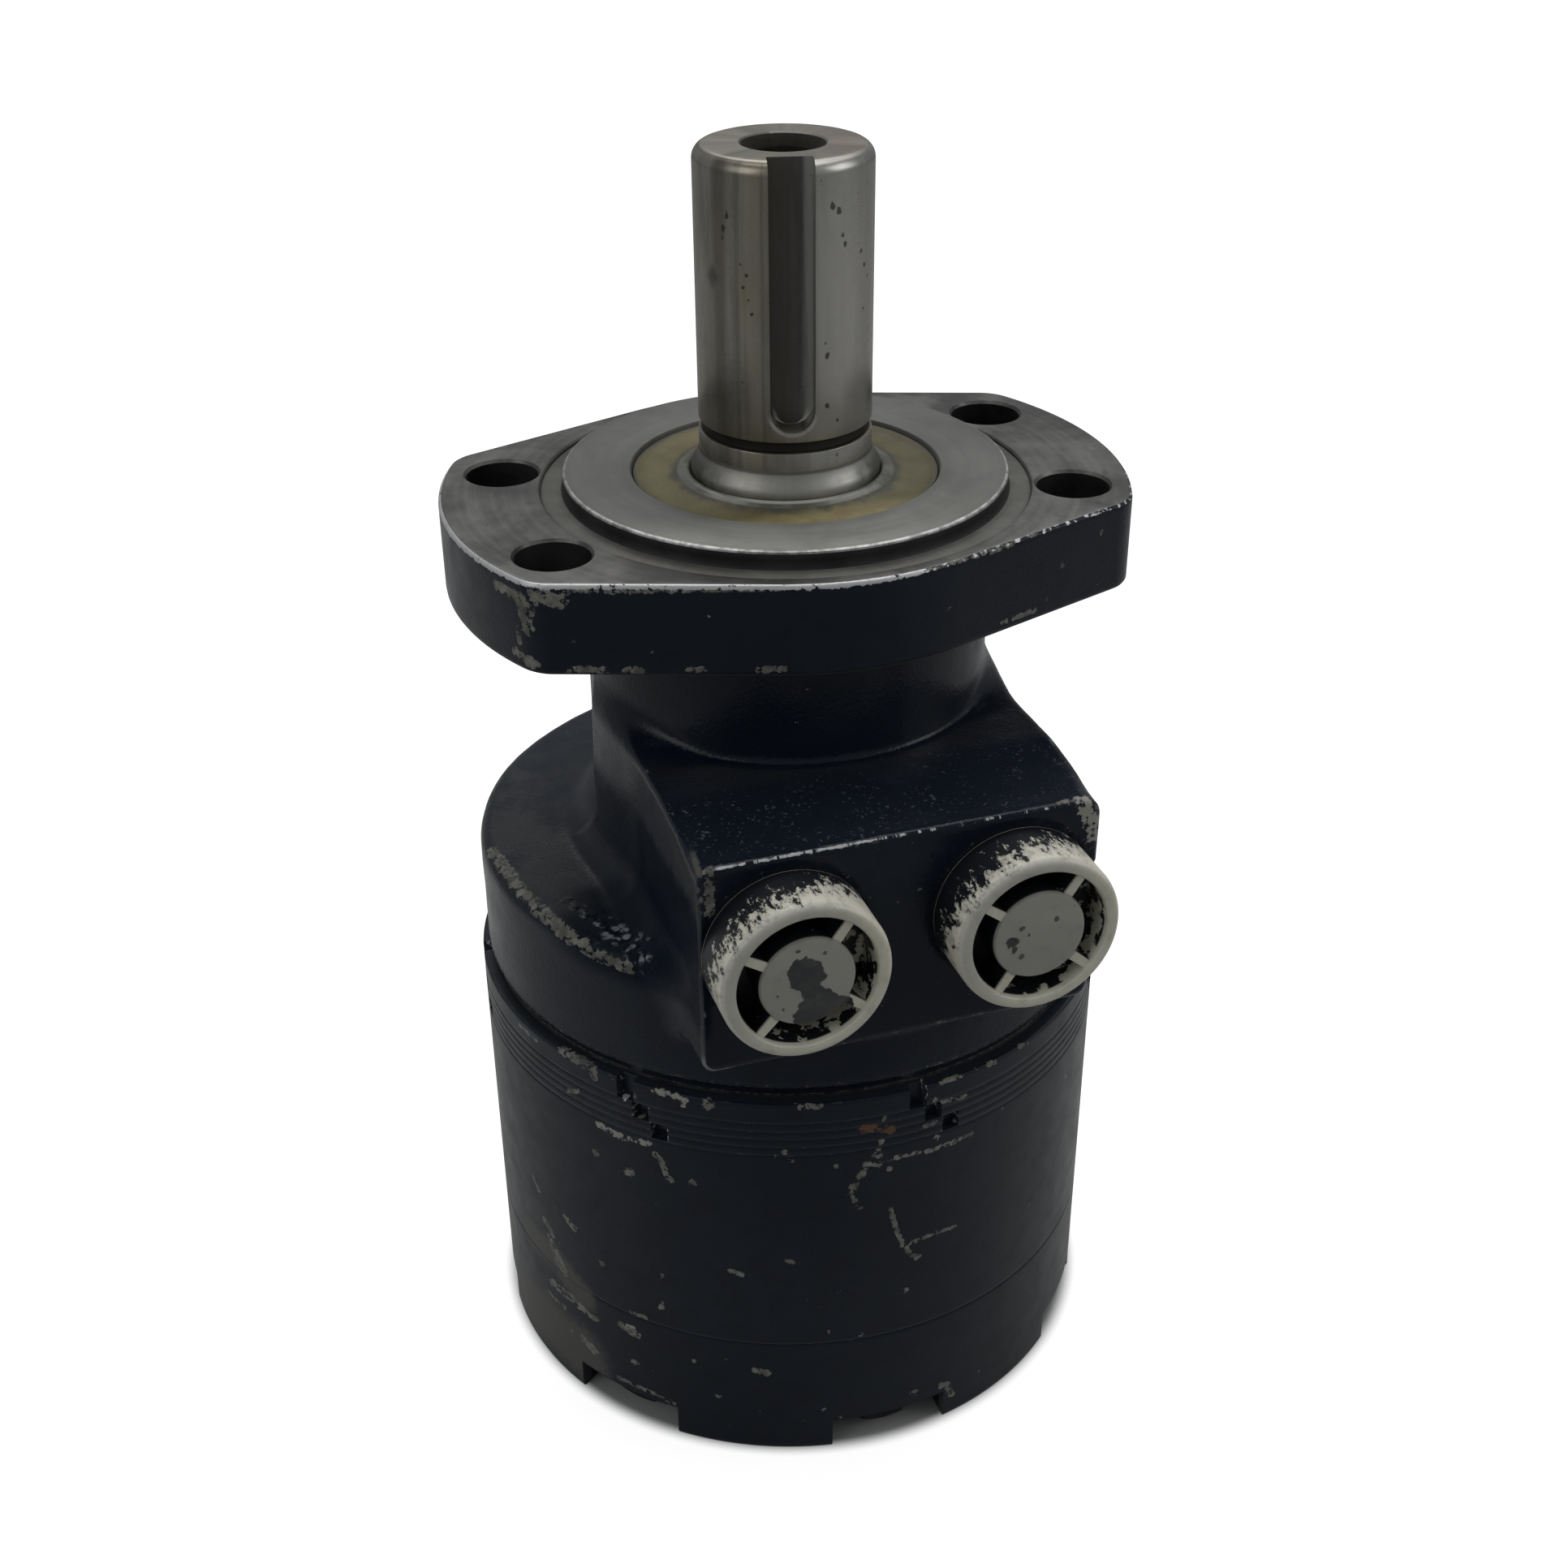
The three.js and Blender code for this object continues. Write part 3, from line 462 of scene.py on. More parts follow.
# ---------------------------------------------------------------- shaders
class Shader:
    """A small writer for node materials. Sizes are in millimetres on the piece's own coordinates."""

    def __init__(self, name, slot):
        self.mat = bpy.data.materials.new(name)
        self.mat.use_nodes = True
        self.slot = slot
        self.nt = self.mat.node_tree
        self.bsdf = next(n for n in self.nt.nodes if n.type == "BSDF_PRINCIPLED")
        tc = self.nt.nodes.new("ShaderNodeTexCoord")
        sc = self.nt.nodes.new("ShaderNodeVectorMath")
        sc.operation = "SCALE"
        sc.inputs["Scale"].default_value = 1000
        self.nt.links.new(tc.outputs["Object"], sc.inputs[0])
        self.p = sc.outputs[0]
        sep = self.nt.nodes.new("ShaderNodeSeparateXYZ")
        self.nt.links.new(self.p, sep.inputs[0])
        self.x, self.y, self.z = sep.outputs
        self._r = None

    def put(self, sock, v):
        if isinstance(v, bpy.types.NodeSocket):
            self.nt.links.new(v, sock)
        elif isinstance(v, (tuple, list)) and len(v) == 3 and sock.type == "RGBA":
            sock.default_value = (*v, 1)
        else:
            sock.default_value = v

    def m(self, op, a, b=None, c=None, clamp=False):
        n = self.nt.nodes.new("ShaderNodeMath")
        n.operation = op
        n.use_clamp = clamp
        for k, v in enumerate((a, b, c)):
            if v is not None:
                self.put(n.inputs[k], v)
        return n.outputs[0]

    def add(self, *v):
        out = v[0]
        for w in v[1:]:
            out = self.m("ADD", out, w)
        return out

    def mul(self, *v):
        out = v[0]
        for w in v[1:]:
            out = self.m("MULTIPLY", out, w)
        return out

    def most(self, *v):
        out = v[0]
        for w in v[1:]:
            out = self.m("MAXIMUM", out, w)
        return out

    def step(self, v, lo, hi, a=0.0, b=1.0):
        n = self.nt.nodes.new("ShaderNodeMapRange")
        n.interpolation_type = "SMOOTHSTEP"
        for k, w in enumerate((v, lo, hi, a, b)):
            self.put(n.inputs[k], w)
        return n.outputs[0]

    def vec(self, x, y, z):
        n = self.nt.nodes.new("ShaderNodeCombineXYZ")
        for k, v in enumerate((x, y, z)):
            self.put(n.inputs[k], v)
        return n.outputs[0]

    def noise(self, size, detail=2.0, rough=0.5, at=None, warp=0.0, seed=0.0):
        n = self.nt.nodes.new("ShaderNodeTexNoise")
        n.noise_dimensions = "4D"
        self.nt.links.new(at or self.p, n.inputs["Vector"])
        n.inputs["Scale"].default_value = 1.0 / size
        n.inputs["Detail"].default_value = detail
        n.inputs["Roughness"].default_value = rough
        n.inputs["Distortion"].default_value = warp
        n.inputs["W"].default_value = seed
        return n.outputs["Fac"]

    def cells(self, size, at=None, out="Distance"):
        n = self.nt.nodes.new("ShaderNodeTexVoronoi")
        self.nt.links.new(at or self.p, n.inputs["Vector"])
        n.inputs["Scale"].default_value = 1.0 / size
        return n.outputs[out]

    def mix(self, f, a, b):
        n = self.nt.nodes.new("ShaderNodeMix")
        n.data_type = "RGBA"
        self.put(n.inputs["Factor"], f)
        self.put(n.inputs["A"], (*a, 1) if isinstance(a, tuple) and len(a) == 3 else a) if not isinstance(a, bpy.types.NodeSocket) else self.nt.links.new(a, n.inputs[6])
        self.put(n.inputs["B"], (*b, 1) if isinstance(b, tuple) and len(b) == 3 else b) if not isinstance(b, bpy.types.NodeSocket) else self.nt.links.new(b, n.inputs[7])
        return n.outputs[2]

    def lerp(self, f, a, b):
        n = self.nt.nodes.new("ShaderNodeMix")
        n.data_type = "FLOAT"
        for s, v in ((0, f), (2, a), (3, b)):
            self.put(n.inputs[s], v)
        return n.outputs[0]

    def attr(self, name):
        n = self.nt.nodes.new("ShaderNodeAttribute")
        n.attribute_name = name
        return n.outputs["Fac"]

    def up(self):
        n = self.nt.nodes.new("ShaderNodeNewGeometry")
        s = self.nt.nodes.new("ShaderNodeSeparateXYZ")
        self.nt.links.new(n.outputs["Normal"], s.inputs[0])
        return s.outputs[2]

    def radius(self):
        if self._r is None:
            self._r = self.m("SQRT", self.add(self.mul(self.x, self.x), self.mul(self.y, self.y)))
        return self._r

    def bump(self, height, normal=None, strength=1.0):
        """height in millimetres."""
        n = self.nt.nodes.new("ShaderNodeBump")
        n.inputs["Strength"].default_value = strength
        n.inputs["Distance"].default_value = 0.001
        self.nt.links.new(height, n.inputs["Height"])
        if normal is not None:
            self.nt.links.new(normal, n.inputs["Normal"])
        return n.outputs[0]

    def finish(self, colour, rough, metal=0.0, normal=None, specular=None):
        b = self.bsdf.inputs
        self.put(b["Base Color"], colour)
        self.put(b["Roughness"], rough)
        self.put(b["Metallic"], metal)
        if specular is not None:
            b["Specular IOR Level"].default_value = specular
        if normal is not None:
            self.nt.links.new(normal, b["Normal"])
        return self.mat


def paint(name, grain=0.05, wave=0.05, dust=1.0, specular=0.28, rough=0.4, speck=1.0, brushed=0.0, sheen=0.16, blocktop=False):
    """Blue-black machine paint: cast or turned skin under it, dust, chips to grey metal, primer, rust and bright edges."""
    s = Shader(name, "black_paint")
    mid = s.noise(5.5, 4, 0.55)
    rag = s.noise(1.1, 5, 0.66, seed=3)
    fine = s.noise(0.62, 2, 0.6, seed=1)
    flake = s.cells(0.85, out="Color")
    base = s.mix(s.step(s.noise(34, 3, seed=2), 0.36, 0.64), (0.0030, 0.0078, 0.0168), (0.0065, 0.0118, 0.0212))
    base = s.mix(s.mul(s.step(mid, 0.42, 0.7), 0.5), base, (0.0018, 0.0048, 0.0105))
    film = s.mul(s.step(s.up(), 0.15, 0.95), s.step(s.noise(11, 5, 0.6, seed=5), 0.34, 0.66), dust)
    side = s.m("ABSOLUTE", s.x)
    # the dust film kept off the block and the neck, and off the valleys beside the block, where its absence is painted
    # shade
    clear = s.mul(s.step(s.add(side, s.mul(s.add(mid, -0.5), 6.0)), 43, 52, 0.12, 1.0), s.step(s.z, 138, 132, 0.1, 1.0))
    film = s.mul(film, clear)
    base = s.mix(s.mul(film, 0.5), base, (0.026, 0.031, 0.030))
    worn = s.step(s.mul(s.attr("worn"), s.add(0.35, s.mul(rag, 1.5))), 0.25, 0.75)
    base = s.mix(s.mul(worn, 0.75), base, (0.115, 0.111, 0.100))
    vary = s.add(-2.45, s.mul(rag, 5.8), s.mul(flake, 1.1))
    chip = s.step(s.mul(s.attr("chip"), vary), 0.40, 0.46)
    spots = s.mul(s.step(s.add(s.noise(1.9, 3, 0.55, seed=9), s.mul(flake, 0.06)), 0.745, 0.76), s.step(s.noise(23, 2, seed=11), 0.47, 0.6), speck)
    edge = s.mul(s.step(s.attr("curv"), 0.3, 0.75), s.step(s.noise(3.2, 5, 0.65, seed=13), 0.57, 0.63))
    chip = s.most(chip, spots, s.mul(edge, 0.8))
    bright = s.step(s.mul(s.attr("bright"), vary), 0.36, 0.46)
    cream = s.step(s.mul(s.attr("cream"), vary), 0.40, 0.48)
    rust = s.step(s.mul(s.attr("rust"), vary), 0.25, 0.75)
    metal_tone = s.mix(s.step(s.noise(2.4, 4, 0.6, seed=21), 0.36, 0.66), (0.105, 0.103, 0.090), (0.25, 0.245, 0.22))
    col = s.mix(chip, base, metal_tone)
    col = s.mix(cream, col, (0.33, 0.325, 0.29))
    col = s.mix(bright, col, (0.62, 0.62, 0.62))
    col = s.mix(s.mul(rust, 0.8), col, (0.17, 0.085, 0.042))
    lump = s.attr("lump")
    dome = s.m("SUBTRACT", 1.0, s.m("POWER", s.cells(1.9), 2.0))
    lumpy = s.mul(s.step(s.add(lump, s.mul(s.add(rag, -0.5), 1.2)), 0.25, 0.8), dome)
    gloss = s.step(lump, 0.1, 0.6)
    # painted highlights: pale glints on the tops of the lumps' domes
    glint = s.mul(s.step(dome, 0.72, 0.90), s.step(s.mul(lump, s.add(0.2, s.mul(rag, 1.6))), 0.25, 0.6), s.step(s.noise(2.3, 3, 0.6, seed=41), 0.44, 0.56))
    col = s.mix(s.mul(glint, 0.9), col, (0.30, 0.31, 0.33))
    if blocktop:
        # painted highlights: pale sparkle specks on the front of the block's glossy top, where it catches the light;
        # pale lines drawn along its front edge and down the face's left edge
        top = s.mul(s.step(s.z, 142, 144), s.step(s.y, -63.2, -62.6), s.step(s.y, -34, -44), s.step(s.up(), 0.7, 0.9))
        painted_sparkle = s.mul(top, s.step(s.noise(0.75, 2, 0.6, seed=43), 0.615, 0.66), s.step(s.noise(9, 3, 0.6, seed=44), 0.36, 0.62))
        col = s.mix(s.mul(painted_sparkle, 0.75), col, (0.10, 0.115, 0.13))
        ey, ez = s.add(s.y, 62.72), s.add(s.z, -144.52)
        along = s.noise(2.4, 4, 0.7, at=s.vec(s.x, 0.0, 0.0), seed=45)
        need = s.step(s.x, -4.5, -1.0, 0.44, 0.555)
        gap = s.step(s.add(along, s.mul(need, -1.0)), 0.0, 0.03)
        reach = s.mul(s.step(s.x, -34.6, -33.4), s.step(s.x, 33.5, 31.5))
        wide = s.add(0.15, s.mul(s.add(s.noise(1.1, 3, 0.65, seed=46), -0.5), 0.8))
        off = s.m("SQRT", s.add(s.mul(ey, ey), s.mul(ez, ez)))
        line = s.mul(s.step(s.add(off, s.mul(wide, -1.0)), 0.14, 0.0), gap, reach)
        col = s.mix(line, col, (0.60, 0.60, 0.60))
        # rounded outline of the port face
        qx, qz = s.add(side, -34.4), s.add(s.m("ABSOLUTE", s.add(s.z, -123.55)), -18.25)
        px, pz = s.m("MAXIMUM", qx, 0.0), s.m("MAXIMUM", qz, 0.0)
        sd = s.add(s.m("SQRT", s.add(s.mul(px, px), s.mul(pz, pz))), s.m("MINIMUM", s.m("MAXIMUM", qx, qz), 0.0), -2.75)
        rim = s.mul(s.step(s.m("ABSOLUTE", sd), 0.42, 0.15), s.step(s.y, -62.0, -62.5))
        left = s.mul(s.step(s.x, -31.5, -34.0), s.step(s.z, 141, 136), s.step(s.noise(5, 3, 0.6, seed=47), 0.3, 0.5, 0.25, 0.8))
        hook = s.mul(s.step(s.x, -31.0, -33.0), s.step(s.z, 107, 105))
        col = s.mix(s.mul(rim, s.most(left, hook), 0.8), col, s.mix(hook, (0.085, 0.09, 0.095), (0.26, 0.27, 0.28)))
    r = s.add(rough, s.mul(s.add(mid, -0.5), 0.45), s.mul(film, 0.22))
    r = s.lerp(s.mul(gloss, 0.9), r, 0.14)
    r = s.lerp(s.most(chip, cream, rust, worn), r, 0.6)
    r = s.lerp(bright, r, 0.38)
    h = s.add(s.mul(fine, grain), s.mul(mid, wave), s.mul(chip, -0.08), s.mul(lumpy, 0.34), s.mul(bright, -0.04))
    if brushed:
        lines = s.noise(0.5, 3, 0.6, at=s.vec(s.mul(s.x, 0.06), s.mul(s.y, 0.06), s.z), seed=31)
        h = s.add(h, s.mul(lines, brushed))
    s.bsdf.inputs["Sheen Weight"].default_value = sheen
    s.bsdf.inputs["Sheen Roughness"].default_value = 0.4
    s.bsdf.inputs["Sheen Tint"].default_value = (1.0, 0.98, 0.93, 1)
    if blocktop:
        # painted shade: specular and sheen turned down in the valleys beside the block and along the foot of its left
        # side
        valley = s.mul(s.step(side, 56, 46), s.step(s.z, 124, 115), s.step(s.up(), 0.35, 0.7), s.step(s.y, -12, -22))
        foot = s.mul(s.step(s.x, -34.5, -36.5), s.step(s.x, -60, -50), s.step(s.add(s.z, s.mul(s.add(mid, -0.5), 8.0)), 139, 132), s.step(s.z, 107, 114), s.step(s.y, -20, -28))
        valley = s.most(valley, foot)
        s.put(s.bsdf.inputs["Specular IOR Level"], s.step(valley, 0.0, 1.0, specular, specular * 0.25))
        s.put(s.bsdf.inputs["Sheen Weight"], s.step(valley, 0.0, 1.0, sheen, sheen * 0.2))
        return s.finish(col, r, s.mul(bright, 0.5), s.bump(h))
    return s.finish(col, r, s.mul(bright, 0.5), s.bump(h), specular)


def turned_steel(name, dark, light, marks=0.03, rough=0.4, stain=1.0, metal=0.9, brown=0.0, slot="plain_steel", side=0.0):
    """Lathe-turned steel: rings about the axis, blotchy oil stains and a little brown near the seal."""
    s = Shader(name, slot)
    rings = s.noise(0.35, 2, 0.7, at=s.vec(s.radius(), 0.0, s.mul(s.z, 0.5)), seed=1)
    wide = s.noise(2.2, 3, 0.6, at=s.vec(s.radius(), 0.0, 0.0), seed=2)
    blot = s.noise(15, 5, 0.62, seed=4, warp=0.4)
    fine = s.noise(0.8, 4, 0.65, seed=6)
    col = s.mix(s.step(s.add(blot, s.mul(s.add(wide, -0.5), 0.35)), 0.34, 0.68), dark, light)
    col = s.mix(s.mul(s.step(s.noise(4.5, 5, 0.65, seed=8), 0.55, 0.72), 0.45 * stain), col, tuple(0.45 * c for c in dark))
    if brown:
        col = s.mix(s.mul(s.step(s.noise(7, 4, 0.6, seed=12), 0.45, 0.65), brown), col, (0.12, 0.075, 0.04))
    if side:
        # painted shade: darker round the sides, the back and the right, lighter in front
        col = s.mix(s.mul(s.most(s.step(s.add(s.y, s.mul(s.add(blot, -0.5), 10.0)), -33, -15), s.step(s.add(s.x, s.mul(s.y, -0.3)), 14, 38)), side), col, (0.05, 0.05, 0.045))
    pits = s.step(s.noise(1.1, 3, 0.6, seed=14), 0.70, 0.73)
    col = s.mix(s.mul(pits, 0.7 * stain), col, (0.03, 0.028, 0.025))
    r = s.add(rough, s.mul(s.add(blot, -0.5), 0.35), s.mul(s.add(rings, -0.5), 0.2), s.mul(s.add(fine, -0.5), 0.15))
    h = s.add(s.mul(rings, marks), s.mul(fine, 0.006), s.mul(pits, -0.03))
    return s.finish(col, r, metal, s.bump(h))


def plain_metal(name, slot, a, b, rough=0.38, metal=0.95, size=9.0, marks=0.006):
    s = Shader(name, slot)
    n = s.noise(size, 4, 0.6, seed=1)
    fine = s.noise(0.4, 3, 0.6, at=s.vec(s.x, s.y, s.mul(s.z, 3)), seed=2)
    col = s.mix(s.step(n, 0.35, 0.65), a, b)
    return s.finish(col, s.add(rough, s.mul(s.add(n, -0.5), 0.3)), metal, s.bump(s.mul(fine, marks)))


def rubber(name, slot, a, b, rough=0.6, oil=0.0):
    s = Shader(name, slot)
    n = s.noise(8, 4, 0.6, seed=1)
    fine = s.noise(0.5, 3, 0.6, seed=2)
    wet = s.step(s.noise(5, 4, 0.6, seed=5), 0.5, 0.66)
    col = s.mix(s.step(n, 0.3, 0.7), a, b)
    col = s.mix(s.mul(wet, oil), col, tuple(0.45 * c for c in a))
    r = s.add(rough, s.mul(s.add(n, -0.5), 0.25), s.mul(wet, -0.3 * oil))
    return s.finish(col, r, 0.0, s.bump(s.add(s.mul(fine, 0.02), s.mul(n, 0.05))))


# ---------------------------------------------------------------- materials
cast_paint = paint("cast_black_paint", grain=0.075, wave=0.06, dust=1.0, rough=0.22, specular=0.27, sheen=0.14, blocktop=True)
flange_paint = paint("flange_black_paint", grain=0.05, wave=0.05, dust=0.4, rough=0.34, brushed=0.04, specular=0.22, sheen=0.18)
stack_paint = paint("stack_black_paint", grain=0.025, wave=0.03, dust=0.3, rough=0.36, sheen=0.26, specular=0.25)
flange_steel = turned_steel("flange_turned_steel", (0.105, 0.103, 0.098), (0.20, 0.196, 0.186))
pilot_steel = turned_steel("pilot_turned_steel", (0.215, 0.216, 0.195), (0.31, 0.311, 0.282), rough=0.5, metal=0.12, stain=0.4, side=0.6)
relief_steel = turned_steel("relief_turned_steel", (0.085, 0.084, 0.075), (0.15, 0.15, 0.135), rough=0.5, metal=0.5, brown=0.12)
edge_steel = plain_metal("pale_edge_steel", "plain_steel", (0.22, 0.22, 0.21), (0.56, 0.555, 0.54), rough=0.4, metal=0.7, size=2.0)
bore_dark = plain_metal("bore_dark_steel", "black_paint", (0.012, 0.012, 0.014), (0.03, 0.029, 0.028), rough=0.55, metal=0.4)


def shaft_material():
    s = Shader("shaft_ground_steel", "ground_steel")
    ang = s.m("ARCTAN2", s.x, s.mul(s.y, -1.0))
    r = s.radius()
    end = s.step(s.up(), 0.85, 0.97)
    around = s.vec(s.mul(ang, 15.875), 0.0, s.z)
    grind = s.noise(0.28, 3, 0.7, at=s.vec(s.mul(ang, 0.9), 0.0, s.z), seed=1)
    streak = s.noise(1.6, 4, 0.6, at=s.vec(s.mul(ang, 15.875), 0.0, s.mul(s.z, 0.07)), seed=2)
    blot = s.noise(9, 5, 0.62, at=s.vec(s.mul(ang, 15.875), 0.0, s.mul(s.z, 0.4)), seed=3, warp=0.5)
    fine = s.noise(0.7, 4, 0.65, seed=6)
    col = s.mix(s.step(s.add(blot, s.mul(s.add(streak, -0.5), 0.5)), 0.32, 0.7), (0.22, 0.212, 0.198), (0.40, 0.39, 0.37))
    # long brownish stain left of the keyway, reddish tint at the right of the end face
    band = s.mul(s.step(s.m("ABSOLUTE", s.add(ang, 0.68, s.mul(s.add(streak, -0.5), 0.45))), 0.02, 0.22, 1.0, 0.0), s.step(s.noise(7, 4, 0.6, seed=15), 0.30, 0.6, 0.4, 1.0), s.m("SUBTRACT", 1.0, end))
    col = s.mix(s.mul(band, 0.5), col, (0.42, 0.375, 0.26))
    tan = s.mul(s.step(s.noise(6, 5, 0.62, at=s.vec(s.mul(ang, 15.875), 0.0, s.mul(s.z, 0.3)), seed=35), 0.42, 0.62), s.step(ang, -0.1, -0.35))
    col = s.mix(s.mul(tan, 0.4), col, (0.30, 0.262, 0.175))
    for b0, w0, k0 in ((-0.56, 0.03, 0.35), (-0.86, 0.05, 0.35), (-1.10, 0.14, 0.5)):
        dark = s.mul(s.step(s.m("ABSOLUTE", s.add(ang, -b0, s.mul(s.add(streak, -0.5), 0.12))), w0, w0 * 0.3), s.m("SUBTRACT", 1.0, end))
        col = s.mix(s.mul(dark, k0), col, (0.10, 0.085, 0.055))
    red = s.mul(end, s.step(s.x, 2.0, 12.0), s.step(s.noise(3.5, 4, 0.6, seed=18), 0.35, 0.6))
    col = s.mix(s.mul(red, 0.6), col, (0.28, 0.12, 0.07))
    # oil spots and small pits
    spots = s.step(s.noise(2.1, 5, 0.68, at=around, seed=22), 0.655, 0.69)
    spots = s.mul(spots, s.step(s.noise(13, 3, at=around, seed=25), 0.46, 0.6))
    for a0, z0, r0 in (
        (-0.978, 238.1, 0.5), (-1.023, 235.6, 0.4), (-1.042, 234.2, 0.3), (0.222, 239.7, 0.46), (0.294, 238.9, 0.42), (0.388, 233.1, 0.34),
        (0.665, 231.1, 0.34), (0.732, 228.3, 0.3), (0.812, 226.0, 0.3), (0.714, 220.7, 0.26), (0.152, 214.0, 0.46), (0.139, 216.5, 0.3),
        (0.164, 205.2, 0.3), (0.3, 202.2, 0.28), (0.294, 195.7, 0.28), (-0.803, 230.2, 0.26), (-0.741, 228.3, 0.26), (-0.79, 226.2, 0.32),
        (-0.723, 224.2, 0.26), (-0.687, 221.8, 0.26), (0.354, 234.5, 0.28),
    ):
        da, dz = s.mul(s.add(ang, -a0), 15.875), s.add(s.z, -z0)
        dot = s.add(s.m("SQRT", s.add(s.mul(da, da), s.mul(dz, dz, 0.6))), s.mul(s.add(s.noise(1.2, 3, 0.6, at=around, seed=27), -0.5), 1.6))
        spots = s.most(spots, s.step(dot, r0 + 0.12, r0 - 0.12))
    spots = s.mul(spots, s.m("SUBTRACT", 1.0, end))
    col = s.mix(s.mul(spots, 0.85), col, (0.035, 0.032, 0.028))
    floor = s.step(r, 14.6, 15.2, 1.0, 0.0)
    slotmask = s.mul(floor, s.step(s.z, 200.0, 201.0), s.m("SUBTRACT", 1.0, end))
    col = s.mix(s.mul(slotmask, 0.75), col, (0.085, 0.08, 0.072))
    foot = s.step(s.z, 199.3, 198.6)
    side = s.step(s.add(ang, s.mul(s.add(streak, -0.5), 0.5)), -0.30, -0.12, 1.0, 0.0)
    film = s.mul(side, s.m("SUBTRACT", 1.0, end), s.step(s.add(s.noise(7, 4, 0.6, at=s.vec(s.mul(ang, 15.875), 0.0, s.mul(s.z, 0.12)), seed=33), 0.0), 0.36, 0.56, 0.55, 1.0))
    col = s.mix(s.mul(film, 0.14), col, (0.10, 0.094, 0.080))
    # paler from the front round to the right side
    pale_band = s.mul(s.step(s.add(ang, s.mul(s.add(streak, -0.5), 0.2)), -0.10, 0.06), s.step(ang, 0.95, 0.45, 0.35, 1.0), s.m("SUBTRACT", 1.0, end))
    col = s.mix(s.mul(pale_band, 0.6), col, (0.64, 0.635, 0.60))
    col = s.mix(s.mul(spots, 0.85), col, (0.035, 0.032, 0.028))
    # bright burr round the keyway's lower end
    ka_, kz = s.mul(s.add(ang, 0.2356), 15.875), s.add(s.z, -204.77)
    ring = s.m("SQRT", s.add(s.mul(ka_, ka_), s.mul(kz, kz)))
    burr = s.mul(s.step(s.m("ABSOLUTE", s.add(ring, -4.45)), 0.5, 0.15), s.step(kz, -0.5, -2.4), s.step(s.up(), 0.9, 0.6))
    col = s.mix(s.mul(burr, 0.65), col, (0.70, 0.69, 0.65))
    warm = s.mul(s.m("SUBTRACT", 1.0, slotmask), 0.55)
    col = s.mix(s.mul(warm, 0.22), col, (0.40, 0.36, 0.26))
    col = s.mix(s.mul(end, 0.35), col, (0.42, 0.385, 0.30))
    hole = s.mul(s.step(r, 7.55, 7.35), s.step(s.z, 247.28, 247.1))
    col = s.mix(s.mul(hole, 0.93), col, (0.030, 0.026, 0.021))
    blotch = s.step(s.add(s.m("ABSOLUTE", s.add(ang, 1.22)), s.mul(s.m("ABSOLUTE", s.add(s.z, -227.0)), 0.05), s.mul(s.add(blot, -0.5), 0.25)), 0.16, 0.03)
    col = s.mix(s.mul(blotch, 0.6), col, (0.06, 0.062, 0.05))
    groove = s.mul(s.step(s.z, 196.85, 197.05), s.step(s.z, 199.05, 198.85), s.step(r, 16.5, 15.9))
    col = s.mix(s.mul(groove, 0.93), col, (0.018, 0.016, 0.014))
    collar = s.step(s.z, 193.8, 193.4)
    col = s.mix(s.mul(collar, 0.7), col, (0.42, 0.414, 0.39))
    # darker on the collar's left and right and towards its foot, lighter in front
    collar_sides = s.mul(collar, s.step(s.add(s.m("ABSOLUTE", s.add(ang, 0.30)), s.mul(s.add(s.noise(3, 4, 0.62, at=around, seed=39), -0.5), 1.2)), 0.6, 1.25), s.step(s.z, 193.0, 191.0, 0.35, 1.0))
    col = s.mix(s.mul(collar_sides, 0.7), col, (0.045, 0.044, 0.038))
    seam = s.mul(s.step(s.m("ABSOLUTE", s.add(s.z, -193.3)), 0.5, 0.1), s.step(r, 16.6, 16.3))
    col = s.mix(s.mul(seam, 0.55), col, (0.04, 0.038, 0.032))
    pits = s.mul(s.step(s.noise(0.8, 3, 0.6, at=around, seed=53), 0.635, 0.68), s.step(s.noise(6, 3, 0.6, at=around, seed=54), 0.46, 0.62), s.m("SUBTRACT", 1.0, end))
    col = s.mix(s.mul(pits, 0.55), col, (0.07, 0.062, 0.045))
    rough = s.add(0.33, s.mul(s.add(blot, -0.5), 0.3), s.mul(s.add(grind, -0.5), 0.25), s.mul(slotmask, 0.2), s.mul(foot, -0.04), s.mul(spots, 0.2), s.mul(collar, s.add(0.06, s.mul(s.noise(2.5, 4, 0.6, seed=37), 0.22))), s.mul(groove, 0.3), s.mul(hole, 0.3))
    h = s.add(s.mul(grind, 0.006), s.mul(fine, 0.005), s.mul(spots, 0.015))
    return s.finish(col, rough, 0.92, s.bump(h))


shaft_steel = shaft_material()


